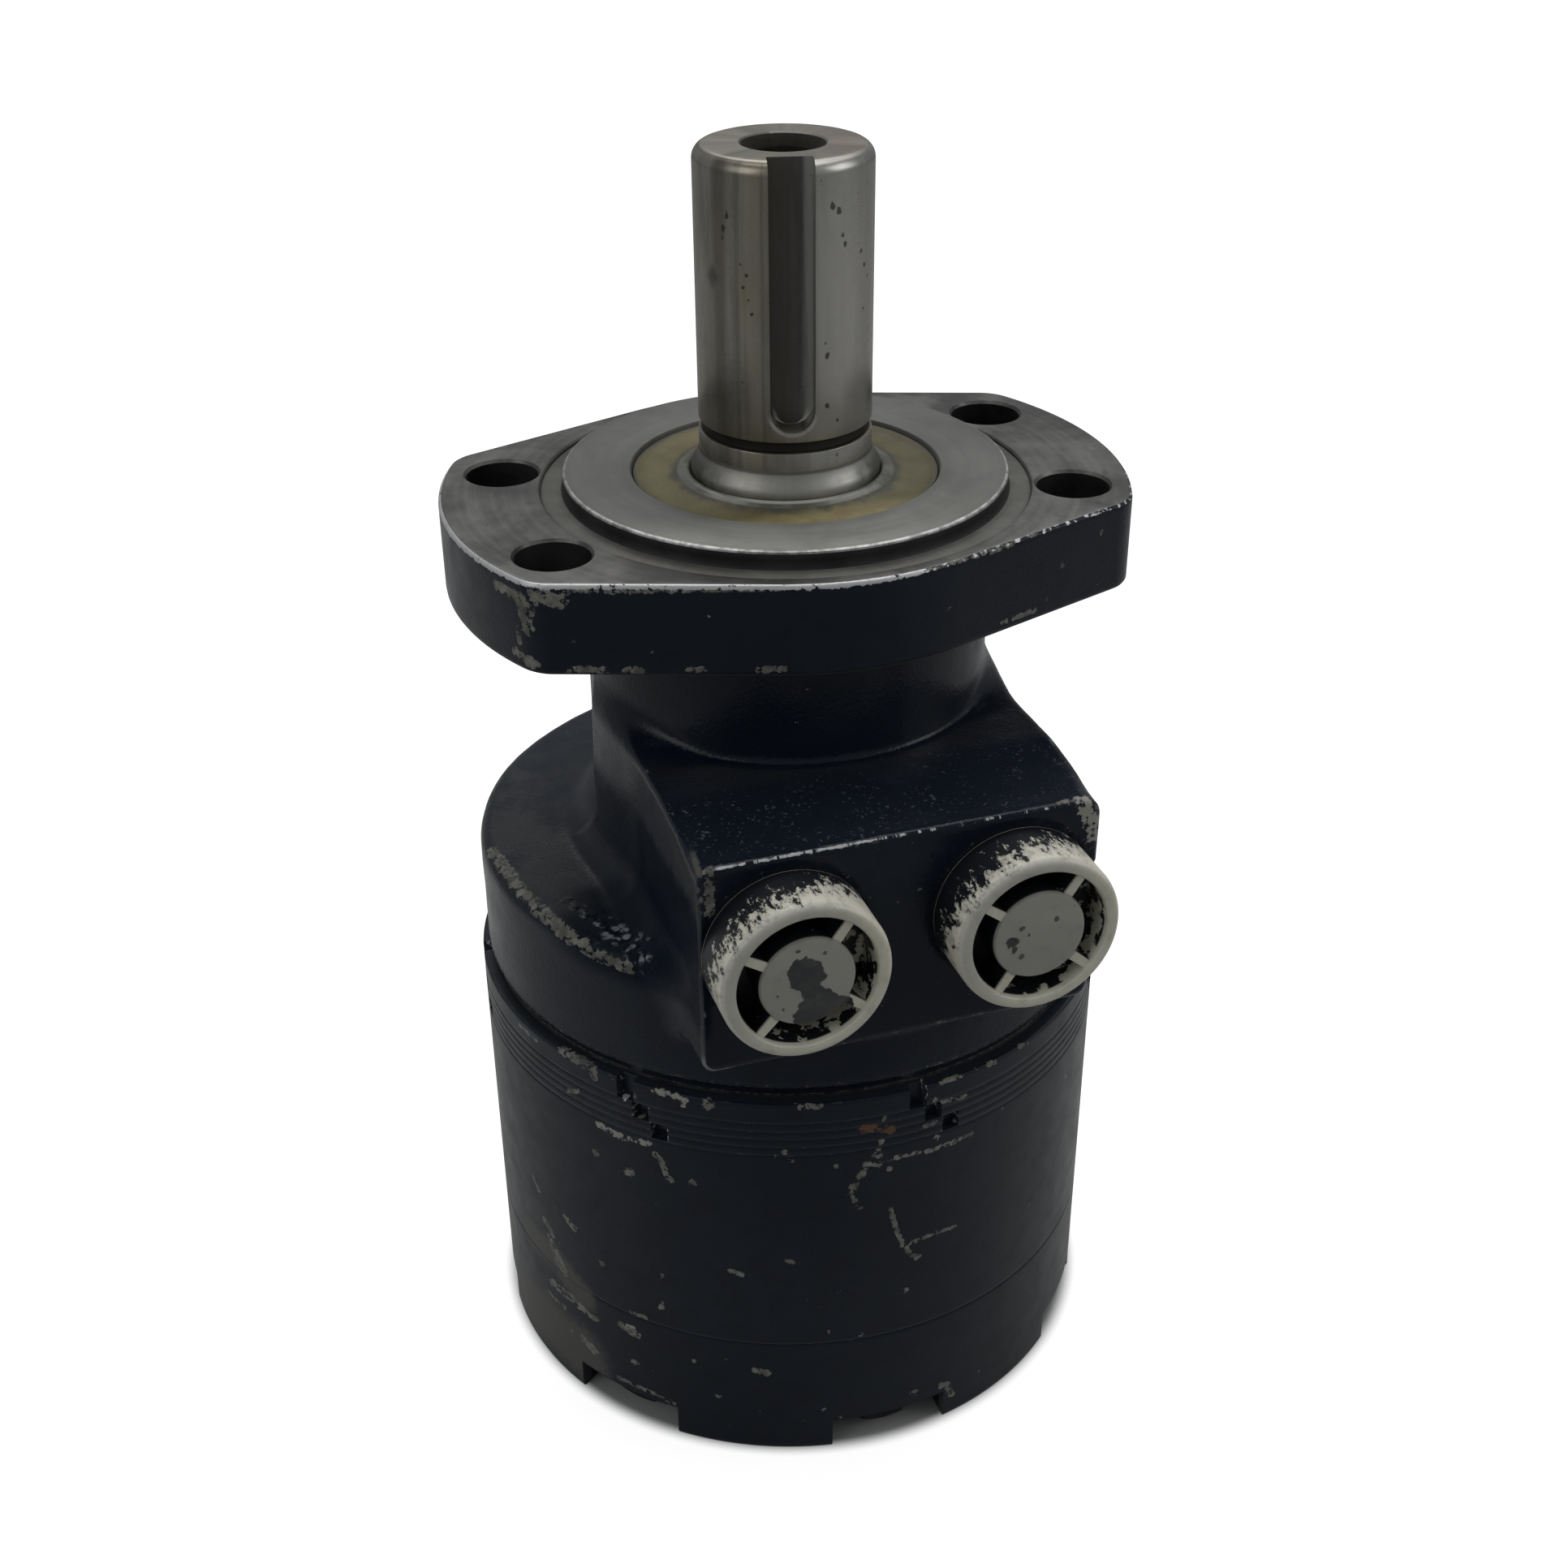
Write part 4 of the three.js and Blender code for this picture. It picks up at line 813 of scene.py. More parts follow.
def seal_material():
    s = Shader("khaki_seal_rubber", "khaki_rubber")
    r = s.radius()
    n = s.noise(8, 4, 0.6, seed=1)
    fine = s.noise(0.5, 3, 0.6, seed=2)
    wet = s.step(s.noise(5, 4, 0.6, seed=5), 0.5, 0.66)
    col = s.mix(s.step(n, 0.32, 0.68), (0.105, 0.091, 0.036), (0.160, 0.142, 0.064))
    # painted light: the seal's front drawn lighter; its right side drawn darker
    col = s.mix(s.mul(s.step(s.y, -18.0, -25.0), 0.8), col, (0.37, 0.325, 0.155))
    col = s.mix(s.mul(s.step(s.x, 12, 22), 0.35), col, (0.06, 0.055, 0.03))
    ang = s.m("ARCTAN2", s.x, s.mul(s.y, -1.0))
    # a thin reddish smear in front; round the lip and at the rim darker, partly grime and partly painted shade
    red = s.mul(s.step(s.y, -19.5, -23.0), s.step(s.noise(4, 4, 0.6, seed=8), 0.4, 0.62))
    col = s.mix(s.mul(red, 0.45), col, (0.20, 0.105, 0.06))
    grime = s.step(s.add(r, s.mul(s.add(s.noise(3, 5, 0.65, seed=11), -0.5), 6.0)), 20.1, 22.2, 1.0, 0.0)
    rim = s.step(s.add(r, s.mul(s.add(n, -0.5), 1.5)), 27.4, 28.1)
    col = s.mix(s.mul(s.most(grime, rim), 0.85), col, (0.045, 0.045, 0.040))
    lip = s.step(r, 19.7, 20.4, 1.0, 0.0)
    col = s.mix(s.mul(lip, 0.85), col, s.mix(s.step(s.noise(3.4, 4, 0.6, seed=14), 0.4, 0.6), (0.10, 0.098, 0.080), (0.17, 0.168, 0.145)))
    # painted highlight: a pale band on the front of the lip
    shine = s.mul(s.step(s.m("ABSOLUTE", s.add(ang, 0.30)), 0.85, 0.25), s.step(s.m("ABSOLUTE", s.add(r, -18.75)), 0.75, 0.25))
    col = s.mix(s.mul(shine, 0.8), col, (0.50, 0.49, 0.45))
    rough = s.lerp(lip, s.add(0.58, s.mul(s.add(n, -0.5), 0.25), s.mul(wet, -0.1)), 0.22)
    return s.finish(col, rough, 0.0, s.bump(s.add(s.mul(fine, 0.02), s.mul(n, 0.05))), 0.42)


seal_rubber = seal_material()
black_rubber = rubber("black_seal_rubber", "black_rubber", (0.012, 0.012, 0.012), (0.022, 0.022, 0.022))
bolt_steel = plain_metal("black_bolt_steel", "black_steel", (0.014, 0.014, 0.015), (0.03, 0.029, 0.028), rough=0.5, metal=0.5, size=3)
inner_steel = plain_metal("inner_plain_steel", "plain_steel", (0.30, 0.295, 0.285), (0.44, 0.435, 0.42))
inner_ground = plain_metal("inner_ground_steel", "ground_steel", (0.38, 0.375, 0.36), (0.52, 0.515, 0.50), rough=0.26)
inner_bronze = plain_metal("inner_bronze", "bronze", (0.36, 0.22, 0.09), (0.48, 0.31, 0.14))


def plug_material(name, cx, over_shift, patch, dots=()):
    """Ivory plug with black overspray on its wall towards the upper left and paint left on its hub. patch: circles (x, z, radius)."""
    s = Shader(name, "ivory_plastic")
    px, pz, d = s.add(s.x, -cx), s.add(s.z, -126.0), s.add(s.y, 74.5)
    r = s.m("SQRT", s.add(s.mul(px, px), s.mul(pz, pz)))
    n = s.noise(6, 4, 0.6, seed=1 + cx)
    fine = s.noise(0.8, 4, 0.6, seed=2)
    rag = s.noise(1.25, 6, 0.74, at=s.vec(s.mul(px, 1.0), s.mul(d, 0.52), s.mul(pz, 1.0)), seed=3 + cx)
    blotch = s.noise(2.6, 4, 0.55, seed=5 + cx)
    wall = s.mul(s.step(r, 14.6, 15.2), s.step(d, 11.75, 11.6))
    hub = s.step(r, 8.6, 9.2, 1.0, 0.0)
    front = s.step(d, 0.9, 1.6, 1.0, 0.0)
    col = s.mix(s.step(n, 0.3, 0.7), (0.60, 0.575, 0.465), (0.72, 0.695, 0.575))
    # painted light: the outer wall drawn paler than the front ring, for the light on its top
    col = s.mix(s.mul(wall, 0.85), col, (0.84, 0.805, 0.675))
    smear = s.mul(wall, s.step(s.noise(2.0, 4, 0.6, at=s.vec(px, s.mul(d, 0.25), pz), seed=51), 0.56, 0.68))
    col = s.mix(s.mul(smear, 0.35), col, (0.40, 0.33, 0.21))
    col = s.mix(s.mul(hub, 0.8), col, (0.27, 0.266, 0.245))
    # a grey mist of paint on the front ring's upper left
    mist = s.mul(s.step(r, 12.4, 12.8), front, s.step(s.add(s.mul(px, -0.06), s.mul(pz, 0.05), s.mul(s.add(n, -0.5), 1.2)), -0.35, 0.7))
    col = s.mix(s.mul(mist, 0.38), col, (0.24, 0.25, 0.26))
    grime = s.step(s.noise(3.2, 5, 0.65, seed=7), 0.5, 0.7)
    col = s.mix(s.mul(grime, 0.3), col, (0.22, 0.21, 0.18))
    # black paint: on the wall it thickens towards the upper left and the back
    to_light = s.mul(s.add(s.mul(px, -0.64), s.mul(pz, 0.77)), 1 / 15.5)
    amount = s.add(s.mul(to_light, 0.40), s.mul(d, 0.066), s.mul(s.add(rag, -0.5), 2.3), over_shift)
    smoke = s.mul(wall, s.step(amount, 0.22, 0.56))
    col = s.mix(s.mul(smoke, 0.45), col, (0.20, 0.205, 0.215))
    over = s.mul(wall, s.step(amount, 0.50, 0.56))
    # recess floor and walls mostly painted, bare streaks at the lower right
    inside = s.mul(s.step(r, 8.5, 8.66), s.step(r, 13.0, 12.8), s.step(d, 0.85, 1.4), s.step(d, 9.2, 8.6))
    lowright = s.add(s.mul(px, 0.0105), s.mul(pz, -0.0085))
    inside = s.mul(inside, s.step(s.add(s.noise(3.0, 4, 0.62, seed=9 + cx), lowright), 0.665, 0.635))
    q = None
    for x0, z0, r0 in patch:
        qx, qz = s.add(px, -x0), s.add(pz, -z0)
        e = s.add(s.m("SQRT", s.add(s.mul(qx, qx), s.mul(qz, qz))), -r0)
        q = e if q is None else s.m("SMOOTH_MIN", q, e, 1.2)
    blob = s.mul(front, s.step(s.add(q, s.mul(s.add(blotch, -0.5), 4.2)), 0.15, -0.15), s.step(r, 12.6, 12.2))
    flecks = s.mul(s.step(s.noise(1.1, 4, 0.6, seed=12 + cx), 0.70, 0.72), s.step(s.noise(8, 2, seed=14), 0.4, 0.5))
    for x0, z0, r0 in dots:
        qx, qz = s.add(px, -x0), s.add(pz, -z0)
        e = s.add(s.m("SQRT", s.add(s.mul(qx, qx), s.mul(qz, qz))), s.mul(s.add(s.noise(1.0, 3, 0.6, seed=16), -0.5), 1.3))
        flecks = s.most(flecks, s.mul(front, s.step(e, r0 + 0.1, r0 - 0.1)))
    black = s.most(over, inside, blob, s.mul(flecks, 0.85))
    tone = s.mix(s.mul(front, s.step(r, 9.4, 8.9)), (0.006, 0.008, 0.012), s.mix(s.step(blotch, 0.35, 0.65), (0.035, 0.037, 0.039), (0.060, 0.060, 0.058)))
    col = s.mix(black, col, tone)
    h = s.add(s.mul(fine, 0.02), s.mul(black, 0.05), s.mul(n, 0.04))
    s.bsdf.inputs["Coat Weight"].default_value = 0.25
    s.bsdf.inputs["Coat Roughness"].default_value = 0.22
    return s.finish(col, s.lerp(black, s.add(0.40, s.mul(s.add(n, -0.5), 0.3)), 0.42), 0.0, s.bump(h), 0.45)


plug_plastic = {
    "left": plug_material("ivory_plastic_left", -21.5, -0.15, ((-0.4, 1.9, 3.4), (0.6, -2.2, 1.7), (1.9, -6.6, 4.4), (6.2, -6.6, 2.6), (4.0, -9.0, 3.0)), ((2.8, 5.4, 0.45), (-5.6, -1.6, 0.3), (-4.6, -4.6, 0.3), (-1.9, 6.8, 0.35))),
    "right": plug_material("ivory_plastic_right", 21.5, -0.13, ((-5.2, -0.4, 1.0), (-4.9, -1.8, 0.7)), ((-3.6, 2.3, 0.5), (-3.4, -3.6, 0.55), (2.9, 2.9, 0.5), (-2.2, 0.6, 0.3))),
}


def dress(ob, *mats):
    ob.data.materials.clear()
    for m in mats:
        ob.data.materials.append(m)


def assign(ob, pick):
    """pick(centres, normals) in millimetres gives each face's material index."""
    me = ob.data
    n = len(me.polygons)
    c, no = np.empty(n * 3), np.empty(n * 3)
    me.polygons.foreach_get("center", c)
    me.polygons.foreach_get("normal", no)
    me.polygons.foreach_set("material_index", pick(c.reshape(-1, 3) / MM, no.reshape(-1, 3)).astype(np.int32))
    me.update()


def place(ob, body, slot, *nodes):
    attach(ob, body)
    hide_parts(*nodes)
    return ob


def cad_copy(node):
    """A CAD node's solid as a welded mesh of its own."""
    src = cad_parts[node]
    me = src.data.copy()
    ob = bpy.data.objects.new(node + "_core", me)
    scene.collection.objects.link(ob)
    bm = bmesh.new()
    bm.from_mesh(me)
    bmesh.ops.remove_doubles(bm, verts=bm.verts, dist=2e-6)
    bm.to_mesh(me)
    bm.free()
    for a in [a.name for a in me.attributes if a.name not in ("position", "material_index") and not a.name.startswith(".")]:
        if a in me.attributes and not me.attributes[a].is_required:
            me.attributes.remove(me.attributes[a])
    return ob


# ---------------------------------------------------------------- housing casting
step_size = 0.78
pos, quads = surface_nets(casting, (-64.5, -65.5, 87.9), (64.5, 64.5, 171.0), step_size)
casting_ob = mesh_object("housing_casting", pos, quads, None)
outward(casting_ob)
p = coords(casting_ob)
mark_attrs(casting_ob, np.clip(curvature(casting, p), -1, 1))
dress(casting_ob, cast_paint, bore_dark)
assign(casting_ob, lambda c, n: np.where((np.hypot(c[:, 0], c[:, 1]) < 33.5) | ((np.hypot(np.abs(c[:, 0]) - 21.5, c[:, 2] - 126) < 11.2) & (c[:, 1] > -62.2) & (c[:, 1] < -37)), 1, 0))
place(casting_ob, "motor_body", "black_paint", "housing")


# ---------------------------------------------------------------- flange
def flange_outline(off=0.0, pitch=0.75):
    """The flange's edge, moved inwards by off: round ends, straight flanks and a rounded middle."""
    t = 70 * DEG
    c56 = math.degrees(math.acos(40.5 / 56))
    fil = (70 - c56)
    quarter = []
    # end arc from azimuth 0 to the corner fillet, the fillet, the flank, then the middle arc up to 90 degrees
    def arc(cx, cy, r, a0, a1):
        n = max(2, int(abs(a1 - a0) * DEG * (r + off) / pitch))
        return [(cx + r * math.cos(a * DEG), cy + r * math.sin(a * DEG)) for a in np.linspace(a0, a1, n + 1)]
    quarter += arc(0, 0, 64 - off, 0, fil)
    fx, fy = 56 * math.cos(fil * DEG), 56 * math.sin(fil * DEG)
    quarter += arc(fx, fy, 8 - off, fil, 70)[1:]
    a, b = quarter[-1], ((48.5 - off) * math.cos(t), (48.5 - off) * math.sin(t))
    n = max(2, int(math.dist(a, b) / pitch))
    quarter += [(a[0] + (b[0] - a[0]) * k / n, a[1] + (b[1] - a[1]) * k / n) for k in range(1, n + 1)]
    quarter += arc(0, 0, 48.5 - off, 70, 90)[1:]
    q1 = quarter
    q2 = [(-x, y) for x, y in reversed(q1[:-1])]
    q3 = [(-x, -y) for x, y in q1[1:]]
    q4 = [(x, -y) for x, y in reversed(q1[1:-1])]
    return np.array(q1 + q2 + q3 + q4)


rows = [(4.2, 169.3), (2.2, 169.3), (1.1, 169.3), (0.75, 169.32), (0.3, 169.6), (0.05, 170.0)]
rows += [(0.0, z) for z in np.linspace(170.5, 184.9, 22)]
rows += [(0.0, 185.5), (0.08, 185.86), (0.28, 186.12), (0.55, 186.27), (0.85, 186.3), (2.2, 186.3), (4.2, 186.3)]
base_line = flange_outline(0.0)
count = len(base_line)
verts, edge_attr = [], []
for off, z in rows:
    line = flange_outline(off)
    # the arcs keep the same number of points for every offset
    verts += [(x, y, z) for x, y in line]
    level = 2.2 if 185.8 < z < 186.29 else (0.33 if 185.4 < z <= 185.8 or (z >= 186.29 and off < 1.0) else (0.05 if 184.8 < z else 0.0))
    # the front edge is drawn bright on the left half only, fading out towards the front right
    edge_attr += [level * (1.0 if x < 0 or y > 0 else max(0.14, 1.0 - 0.09 * x)) for x, y in line]
    assert len(line) == count
faces = [[k * count + i, k * count + (i + 1) % count, (k + 1) * count + (i + 1) % count, (k + 1) * count + i] for k in range(len(rows) - 1) for i in range(count)]
faces += [list(range(count))[::-1], list(range((len(rows) - 1) * count, len(rows) * count))]
flange = mesh_object("housing_flange", verts, faces, None)
outward(flange)
mark_attrs(flange)
b = np.zeros(len(flange.data.vertices), np.float32)
flange.data.attributes["bright"].data.foreach_get("value", b)
add_attr(flange, "bright", np.maximum(b, np.array(edge_attr)))
holes = []
for k, a in enumerate((22.5, 157.5, 202.5, 337.5)):
    hx, hy = 53.2 * math.cos(a * DEG), 53.2 * math.sin(a * DEG)
    holes.append(lathe(f"hole{k}", [(0, 165), (7.35, 165), (7.35, 169.1), (6.75, 169.8), (6.75, 185.75), (7.25, 186.35), (7.25, 190), (0, 190)], 64, False, hx, hy))
holes.append(lathe("well", [(0, 165), (24.5, 165), (24.5, 173.5), (28.5, 173.5), (28.5, 176.2), (45.45, 176.2), (45.45, 186.0), (45.85, 186.4), (45.85, 190), (0, 190)], 192, False))
cut(flange, holes)
resharp(flange, 28)
dress(flange, flange_paint, flange_steel, bore_dark)


def flange_pick(c, n):
    out = np.zeros(len(c), int)
    rad = np.hypot(c[:, 0], c[:, 1])
    hole = np.hypot(np.abs(c[:, 0]) - 53.2 * math.cos(22.5 * DEG), np.abs(c[:, 1]) - 53.2 * math.sin(22.5 * DEG))
    out[(c[:, 2] > 186.25)] = 1
    out[(hole < 7.4) & (c[:, 2] > 185.7)] = 1
    out[(hole < 7.3) & (c[:, 2] <= 185.7)] = 2
    out[(rad < 45.9) & (c[:, 2] > 169.4)] = 1
    return out


assign(flange, flange_pick)
place(flange, "motor_body", "black_paint", "housing")

pilot = lathe(
    "housing_pilot_ring",
    [(28.5, 176.2), (45.4, 176.2), (45.4, 185.62), (45.0, 185.8), (42.2, 185.8), (41.6, 185.95), (41.28, 186.4), (41.25, 187.6), (41.25, 188.75), (41.1, 189.08), (40.7, 189.3), (36, 189.3), (29.15, 189.3), (28.75, 189.12), (28.5, 188.7)],
    256,
)
dress(pilot, pilot_steel, relief_steel, bore_dark, edge_steel)


def pilot_pick(c, n):
    rad = np.hypot(c[:, 0], c[:, 1])
    out = np.zeros(len(c), int)
    # painted shade: the pilot's outer wall takes the near-black bore steel
    out[(c[:, 2] < 188.7) & (rad > 41.0)] = 2
    out[(c[:, 2] < 185.9) & (rad > 41.0)] = 1
    # a paler steel on the pilot's rounded top edge
    out[(c[:, 2] > 188.7) & (rad > 40.75)] = 3
    return out


assign(pilot, pilot_pick)
place(pilot, "motor_body", "black_paint", "housing")


# ---------------------------------------------------------------- bolted stack
def azimuths(notch=None, width=3.0):
    """Azimuths in degrees from -Y towards +X: close together where the stack is marked, wider at the back."""
    az = list(np.arange(-102, 62, 0.46)) + list(np.arange(62, 258, 1.4))
    if notch is not None:
        for k in range(7):
            c = notch + k * BOLT_STEP
            for e in (-width / 2, width / 2):
                for t in (-0.12, 0.12):
                    az.append((c + e + t + 102) % 360 - 102)
    return np.array(sorted(set(np.round(az, 4))))


def rim_ring(name, z0, z1, notch=None, pitch=0.62, low=0.28, high=0.28, inner=61.0, outer=63.5, wobble=0.0):
    az = azimuths(notch)
    n = len(az)
    inset = np.zeros(n)
    if notch is not None:
        for k in range(7):
            c = (notch + k * BOLT_STEP + 102) % 360 - 102
            inset[np.abs(az - c) < 1.5] = 2.0
    mid = np.linspace(z0 + low, z1 - high, max(2, int((z1 - z0 - low - high) / pitch) + 1))
    prof = [(inner, z0), (outer - 0.9, z0), (outer - low, z0), (outer - 0.3 * low, z0 + 0.3 * low)] + [(outer, z) for z in mid]
    prof += [(outer - 0.3 * high, z1 - 0.3 * high), (outer - high, z1), (outer - 0.9, z1), (inner, z1)]
    a = (az - 90) * DEG
    ca, sa = np.cos(a), np.sin(a)
    verts = []
    for r, z in prof:
        rr = np.where(r > inner, np.maximum(r - inset, inner + 0.12), inner)
        verts.append(np.stack([rr * ca, rr * sa, np.full(n, z)], 1))
    verts = np.concatenate(verts)
    m = len(prof)
    k, i = np.meshgrid(np.arange(m), np.arange(n), indexing="ij")
    k, i = k.ravel(), i.ravel()
    j, l = (i + 1) % n, (k + 1) % m
    faces = np.stack([k * n + i, k * n + j, l * n + j, l * n + i], 1)
    ob = mesh_object(name, verts, faces, None)
    outward(ob)
    edge = np.repeat([0.0] + [0.0, 0.7, 0.8] + [0.0] * len(mid) + [0.8, 0.7, 0.0] + [0.0], n)
    mark_attrs(ob, edge * 0.62)
    if notch is not None:
        # pale lines down the notches' side edges: chipped paint with painted highlight
        b = np.zeros(m * n, np.float32)
        ob.data.attributes["bright"].data.foreach_get("value", b)
        near = np.zeros(n)
        for q in range(7):
            c = (notch + q * BOLT_STEP + 102) % 360 - 102
            near = np.maximum(near, np.clip(1 - np.minimum(np.abs(az - c + 1.5), np.abs(az - c - 1.5)) / 0.55, 0, 1))
        add_attr(ob, "bright", np.maximum(b, np.tile(near, m) * 0.34))
    resharp(ob, 50)
    return ob


def core_of(node, radius=61.0):
    core = cad_copy(node)
    lo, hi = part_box(node)
    keep = lathe("keep", [(0, lo.z / MM - 2), (radius, lo.z / MM - 2), (radius, hi.z / MM + 2), (0, hi.z / MM + 2)], 180, False)
    cut(core, [keep], "INTERSECT")
    core.data.shade_flat()
    return core


def stack_piece(node, z0, z1, notch, paint_mat, inner_mat, extra=None, **kw):
    rim = rim_ring(node + "_rim", z0, z1, notch, **kw)
    if extra:
        extra(rim)
    dress(rim, paint_mat)
    core = core_of(node)
    for nm in ("chip", "bright", "cream", "rust", "worn", "lump", "curv"):
        add_attr(core, nm, np.zeros(len(core.data.vertices)))
    dress(core, inner_mat)
    ob = join(node + "_shown", [rim, core])
    place(ob, "motor_body", "black_paint", node)
    return ob


stack_piece("port_plate", 84.4, 89.0, 3.6, stack_paint, inner_steel, pitch=0.55)
for k, (z0, z1, nt) in enumerate(((82.55, 84.4, 6.5), (80.7, 82.55, 6.5), (78.85, 80.7, 10.0), (77.0, 78.85, 10.0)), 1):
    stack_piece(f"manifold_plate_{k}", z0, z1, nt, stack_paint, inner_steel, pitch=0.5, low=0.22, high=0.22)
stack_piece("stator_ring", 29.0, 77.0, None, stack_paint, inner_ground)


def open_pockets(rim):
    cutters = []
    for k in range(7):
        a = -90 + k * BOLT_STEP
        d = (math.cos(a * DEG), math.sin(a * DEG))
        t = (-d[1], d[0])
        h = 12.25
        loc = [(70, -h), (70, h)] + [(52.5 + h * math.cos(b * DEG), h * math.sin(b * DEG)) for b in np.linspace(90, 270, 17)]
        cutters.append(prism(f"pocket{k}", [(d[0] * r + t[0] * s_, d[1] * r + t[1] * s_) for r, s_ in loc], -3, 7.3))
    cut(rim, cutters)
    resharp(rim, 40)


stack_piece("end_cover", 0.0, 29.0, None, stack_paint, bore_dark, extra=open_pockets, low=0.8)

# ---------------------------------------------------------------- cover bolts
for k in range(7):
    a = (-90 + k * BOLT_STEP) * DEG
    bx, by = 52.5 * math.cos(a), 52.5 * math.sin(a)
    hexa = [(bx + 8.25 * math.cos(a + (30 + 60 * i) * DEG), by + 8.25 * math.sin(a + (30 + 60 * i) * DEG)) for i in range(6)]
    head = prism(f"cover_bolt_{k + 1}_shown", hexa, 1.3, 7.3)
    cone = lathe("cone", [(0, 1.3), (6.7, 1.3), (8.4, 2.25), (8.4, 6.9), (6.9, 6.9), (6.9, 7.3), (0, 7.3)], 72, False, bx, by)
    cut(head, [cone], "INTERSECT")
    shank = lathe("shank", [(0, 7.2), (4.76, 7.2), (4.76, 108.4), (4.2, 109), (0, 109)], 40, False, bx, by)
    ob = join(f"cover_bolt_{k + 1}_shown", [head, shank])
    resharp(ob, 25)
    dress(ob, bolt_steel)
    place(ob, "motor_body", "black_steel", f"cover_bolt_{k + 1}")

# ---------------------------------------------------------------- output shaft
top = lathe(
    "shaft_top",
    [(0, 175), (19.2, 175), (19.2, 183.2), (17.5, 184.0), (17.5, 189.4), (17.45, 189.95), (17.25, 190.5), (16.9, 191.1), (16.5, 191.75), (16.2, 192.4), (15.98, 193.05), (15.9, 193.5), (15.875, 193.75), (15.875, 196.7), (15.8, 196.88), (15.6, 196.95), (15.05, 197.1), (15.0, 197.3), (15.0, 198.6), (15.05, 198.8), (15.6, 198.95), (15.8, 199.0), (15.875, 199.2),
     (15.875, 215), (15.875, 230), (15.875, 244.9), (15.83, 245.3), (15.68, 245.8), (15.4, 246.3), (15.0, 246.75), (14.5, 247.07), (14.0, 247.24), (13.5, 247.3), (11, 247.3), (7.75, 247.3), (7.5, 247.1), (5.62, 245.4), (5.5, 245.1), (5.5, 221.3), (0, 218.3)],
    288, False, smooth_angle=None,
)
ka = (-90 - 13.5) * DEG
kd, kt = (math.cos(ka), math.sin(ka)), (math.sin(ka) * -1, math.cos(ka))
sections = [(11.075, -0.2), (11.25, 0.0), (15.35, 0.0), (16.1, 0.42), (21, 0.42)]
verts = []
slot_line = lambda o: [((3.97 + o) * math.cos(b * DEG), 204.77 + (3.97 + o) * math.sin(b * DEG)) for b in np.linspace(180, 360, 33)] + [(3.97 + o, 252), (-3.97 - o, 252)]
for dist, o in sections:
    verts += [(kd[0] * dist + kt[0] * s_, kd[1] * dist + kt[1] * s_, z) for s_, z in slot_line(o)]
m = len(slot_line(0))
faces = [list(range(m)), list(range((len(sections) - 1) * m, len(sections) * m))[::-1]]
faces += [[k * m + i, (k + 1) * m + i, (k + 1) * m + (i + 1) % m, k * m + (i + 1) % m] for k in range(len(sections) - 1) for i in range(m)]
key = mesh_object("key_cut", verts, faces)
outward(key)
cut(top, [key])
low_part = cad_copy("output_shaft")
keep = lathe("keep", [(0, 90), (40, 90), (40, 175), (0, 175)], 64, False)
cut(low_part, [keep], "INTERSECT")
low_part.data.shade_flat()
shaft = join("output_shaft_turned", [top, low_part])
resharp(shaft, 32)
dress(shaft, shaft_steel)
place(shaft, "shaft", "ground_steel", "output_shaft")

# ---------------------------------------------------------------- dust seal
seal = lathe(
    "dust_seal_lip",
    [(17.85, 186.6), (17.62, 187.4), (17.6, 188.2), (17.7, 188.65), (17.95, 188.98), (18.35, 189.15), (18.8, 189.12), (19.3, 188.92), (19.9, 188.6), (20.7, 188.25), (21.6, 188.0), (23.2, 187.75), (25.4, 187.62), (26.4, 187.72), (27.3, 188.1), (27.85, 188.42), (28.15, 188.4), (28.3, 188.1), (28.3, 183.9), (21.5, 183.9)],
    224, smooth_angle=50,
)
dress(seal, seal_rubber)
place(seal, "motor_body", "khaki_rubber", "dust_seal")

# ---------------------------------------------------------------- port plugs
for side_name, cx, spokes in (("left", -21.5, (149, 54, -36, -133)), ("right", 21.5, (144, 55, -41, -125))):
    prof = [(0, 0.35), (8.0, 0.35), (8.45, 0.5), (8.7, 0.95), (8.7, 8), (12.75, 8), (12.75, 0.8), (12.9, 0.3), (13.2, 0.05), (13.6, 0), (14.1, 0), (14.6, 0.12), (15.05, 0.45), (15.35, 0.95), (15.5, 1.7)]
    prof += [(15.5, d) for d in (3.5, 6, 8.5)] + [(15.5, 11.8), (10.6, 11.8), (10.6, 28.5), (8.6, 29.5), (8.2, 29.5), (8.2, 10), (8.2, 3), (0, 3)]
    plug = lathe(f"port_plug_{side_name}_moulded", prof, 160, False, smooth_angle=None)
    bars = []
    for q, a in enumerate(spokes):
        d = (math.cos(a * DEG), math.sin(a * DEG))
        t = (-d[1], d[0])
        line = [(8.3, -0.9), (13.0, -0.8), (13.0, 0.8), (8.3, 0.9)]
        bars.append(prism(f"spoke{q}", [(d[0] * r + t[0] * s_, d[1] * r + t[1] * s_) for r, s_ in line], 0.7, 8.3))
    cut(plug, bars, "UNION")
    co = coords(plug)
    new = np.stack([cx + co[:, 0], -74.5 + co[:, 2], 126 + co[:, 1]], 1) * MM
    plug.data.vertices.foreach_set("co", new.ravel())
    outward(plug)
    resharp(plug, 30)
    dress(plug, plug_plastic[side_name])
    place(plug, f"plug_{side_name}", "ivory_plastic", f"port_plug_{side_name}")

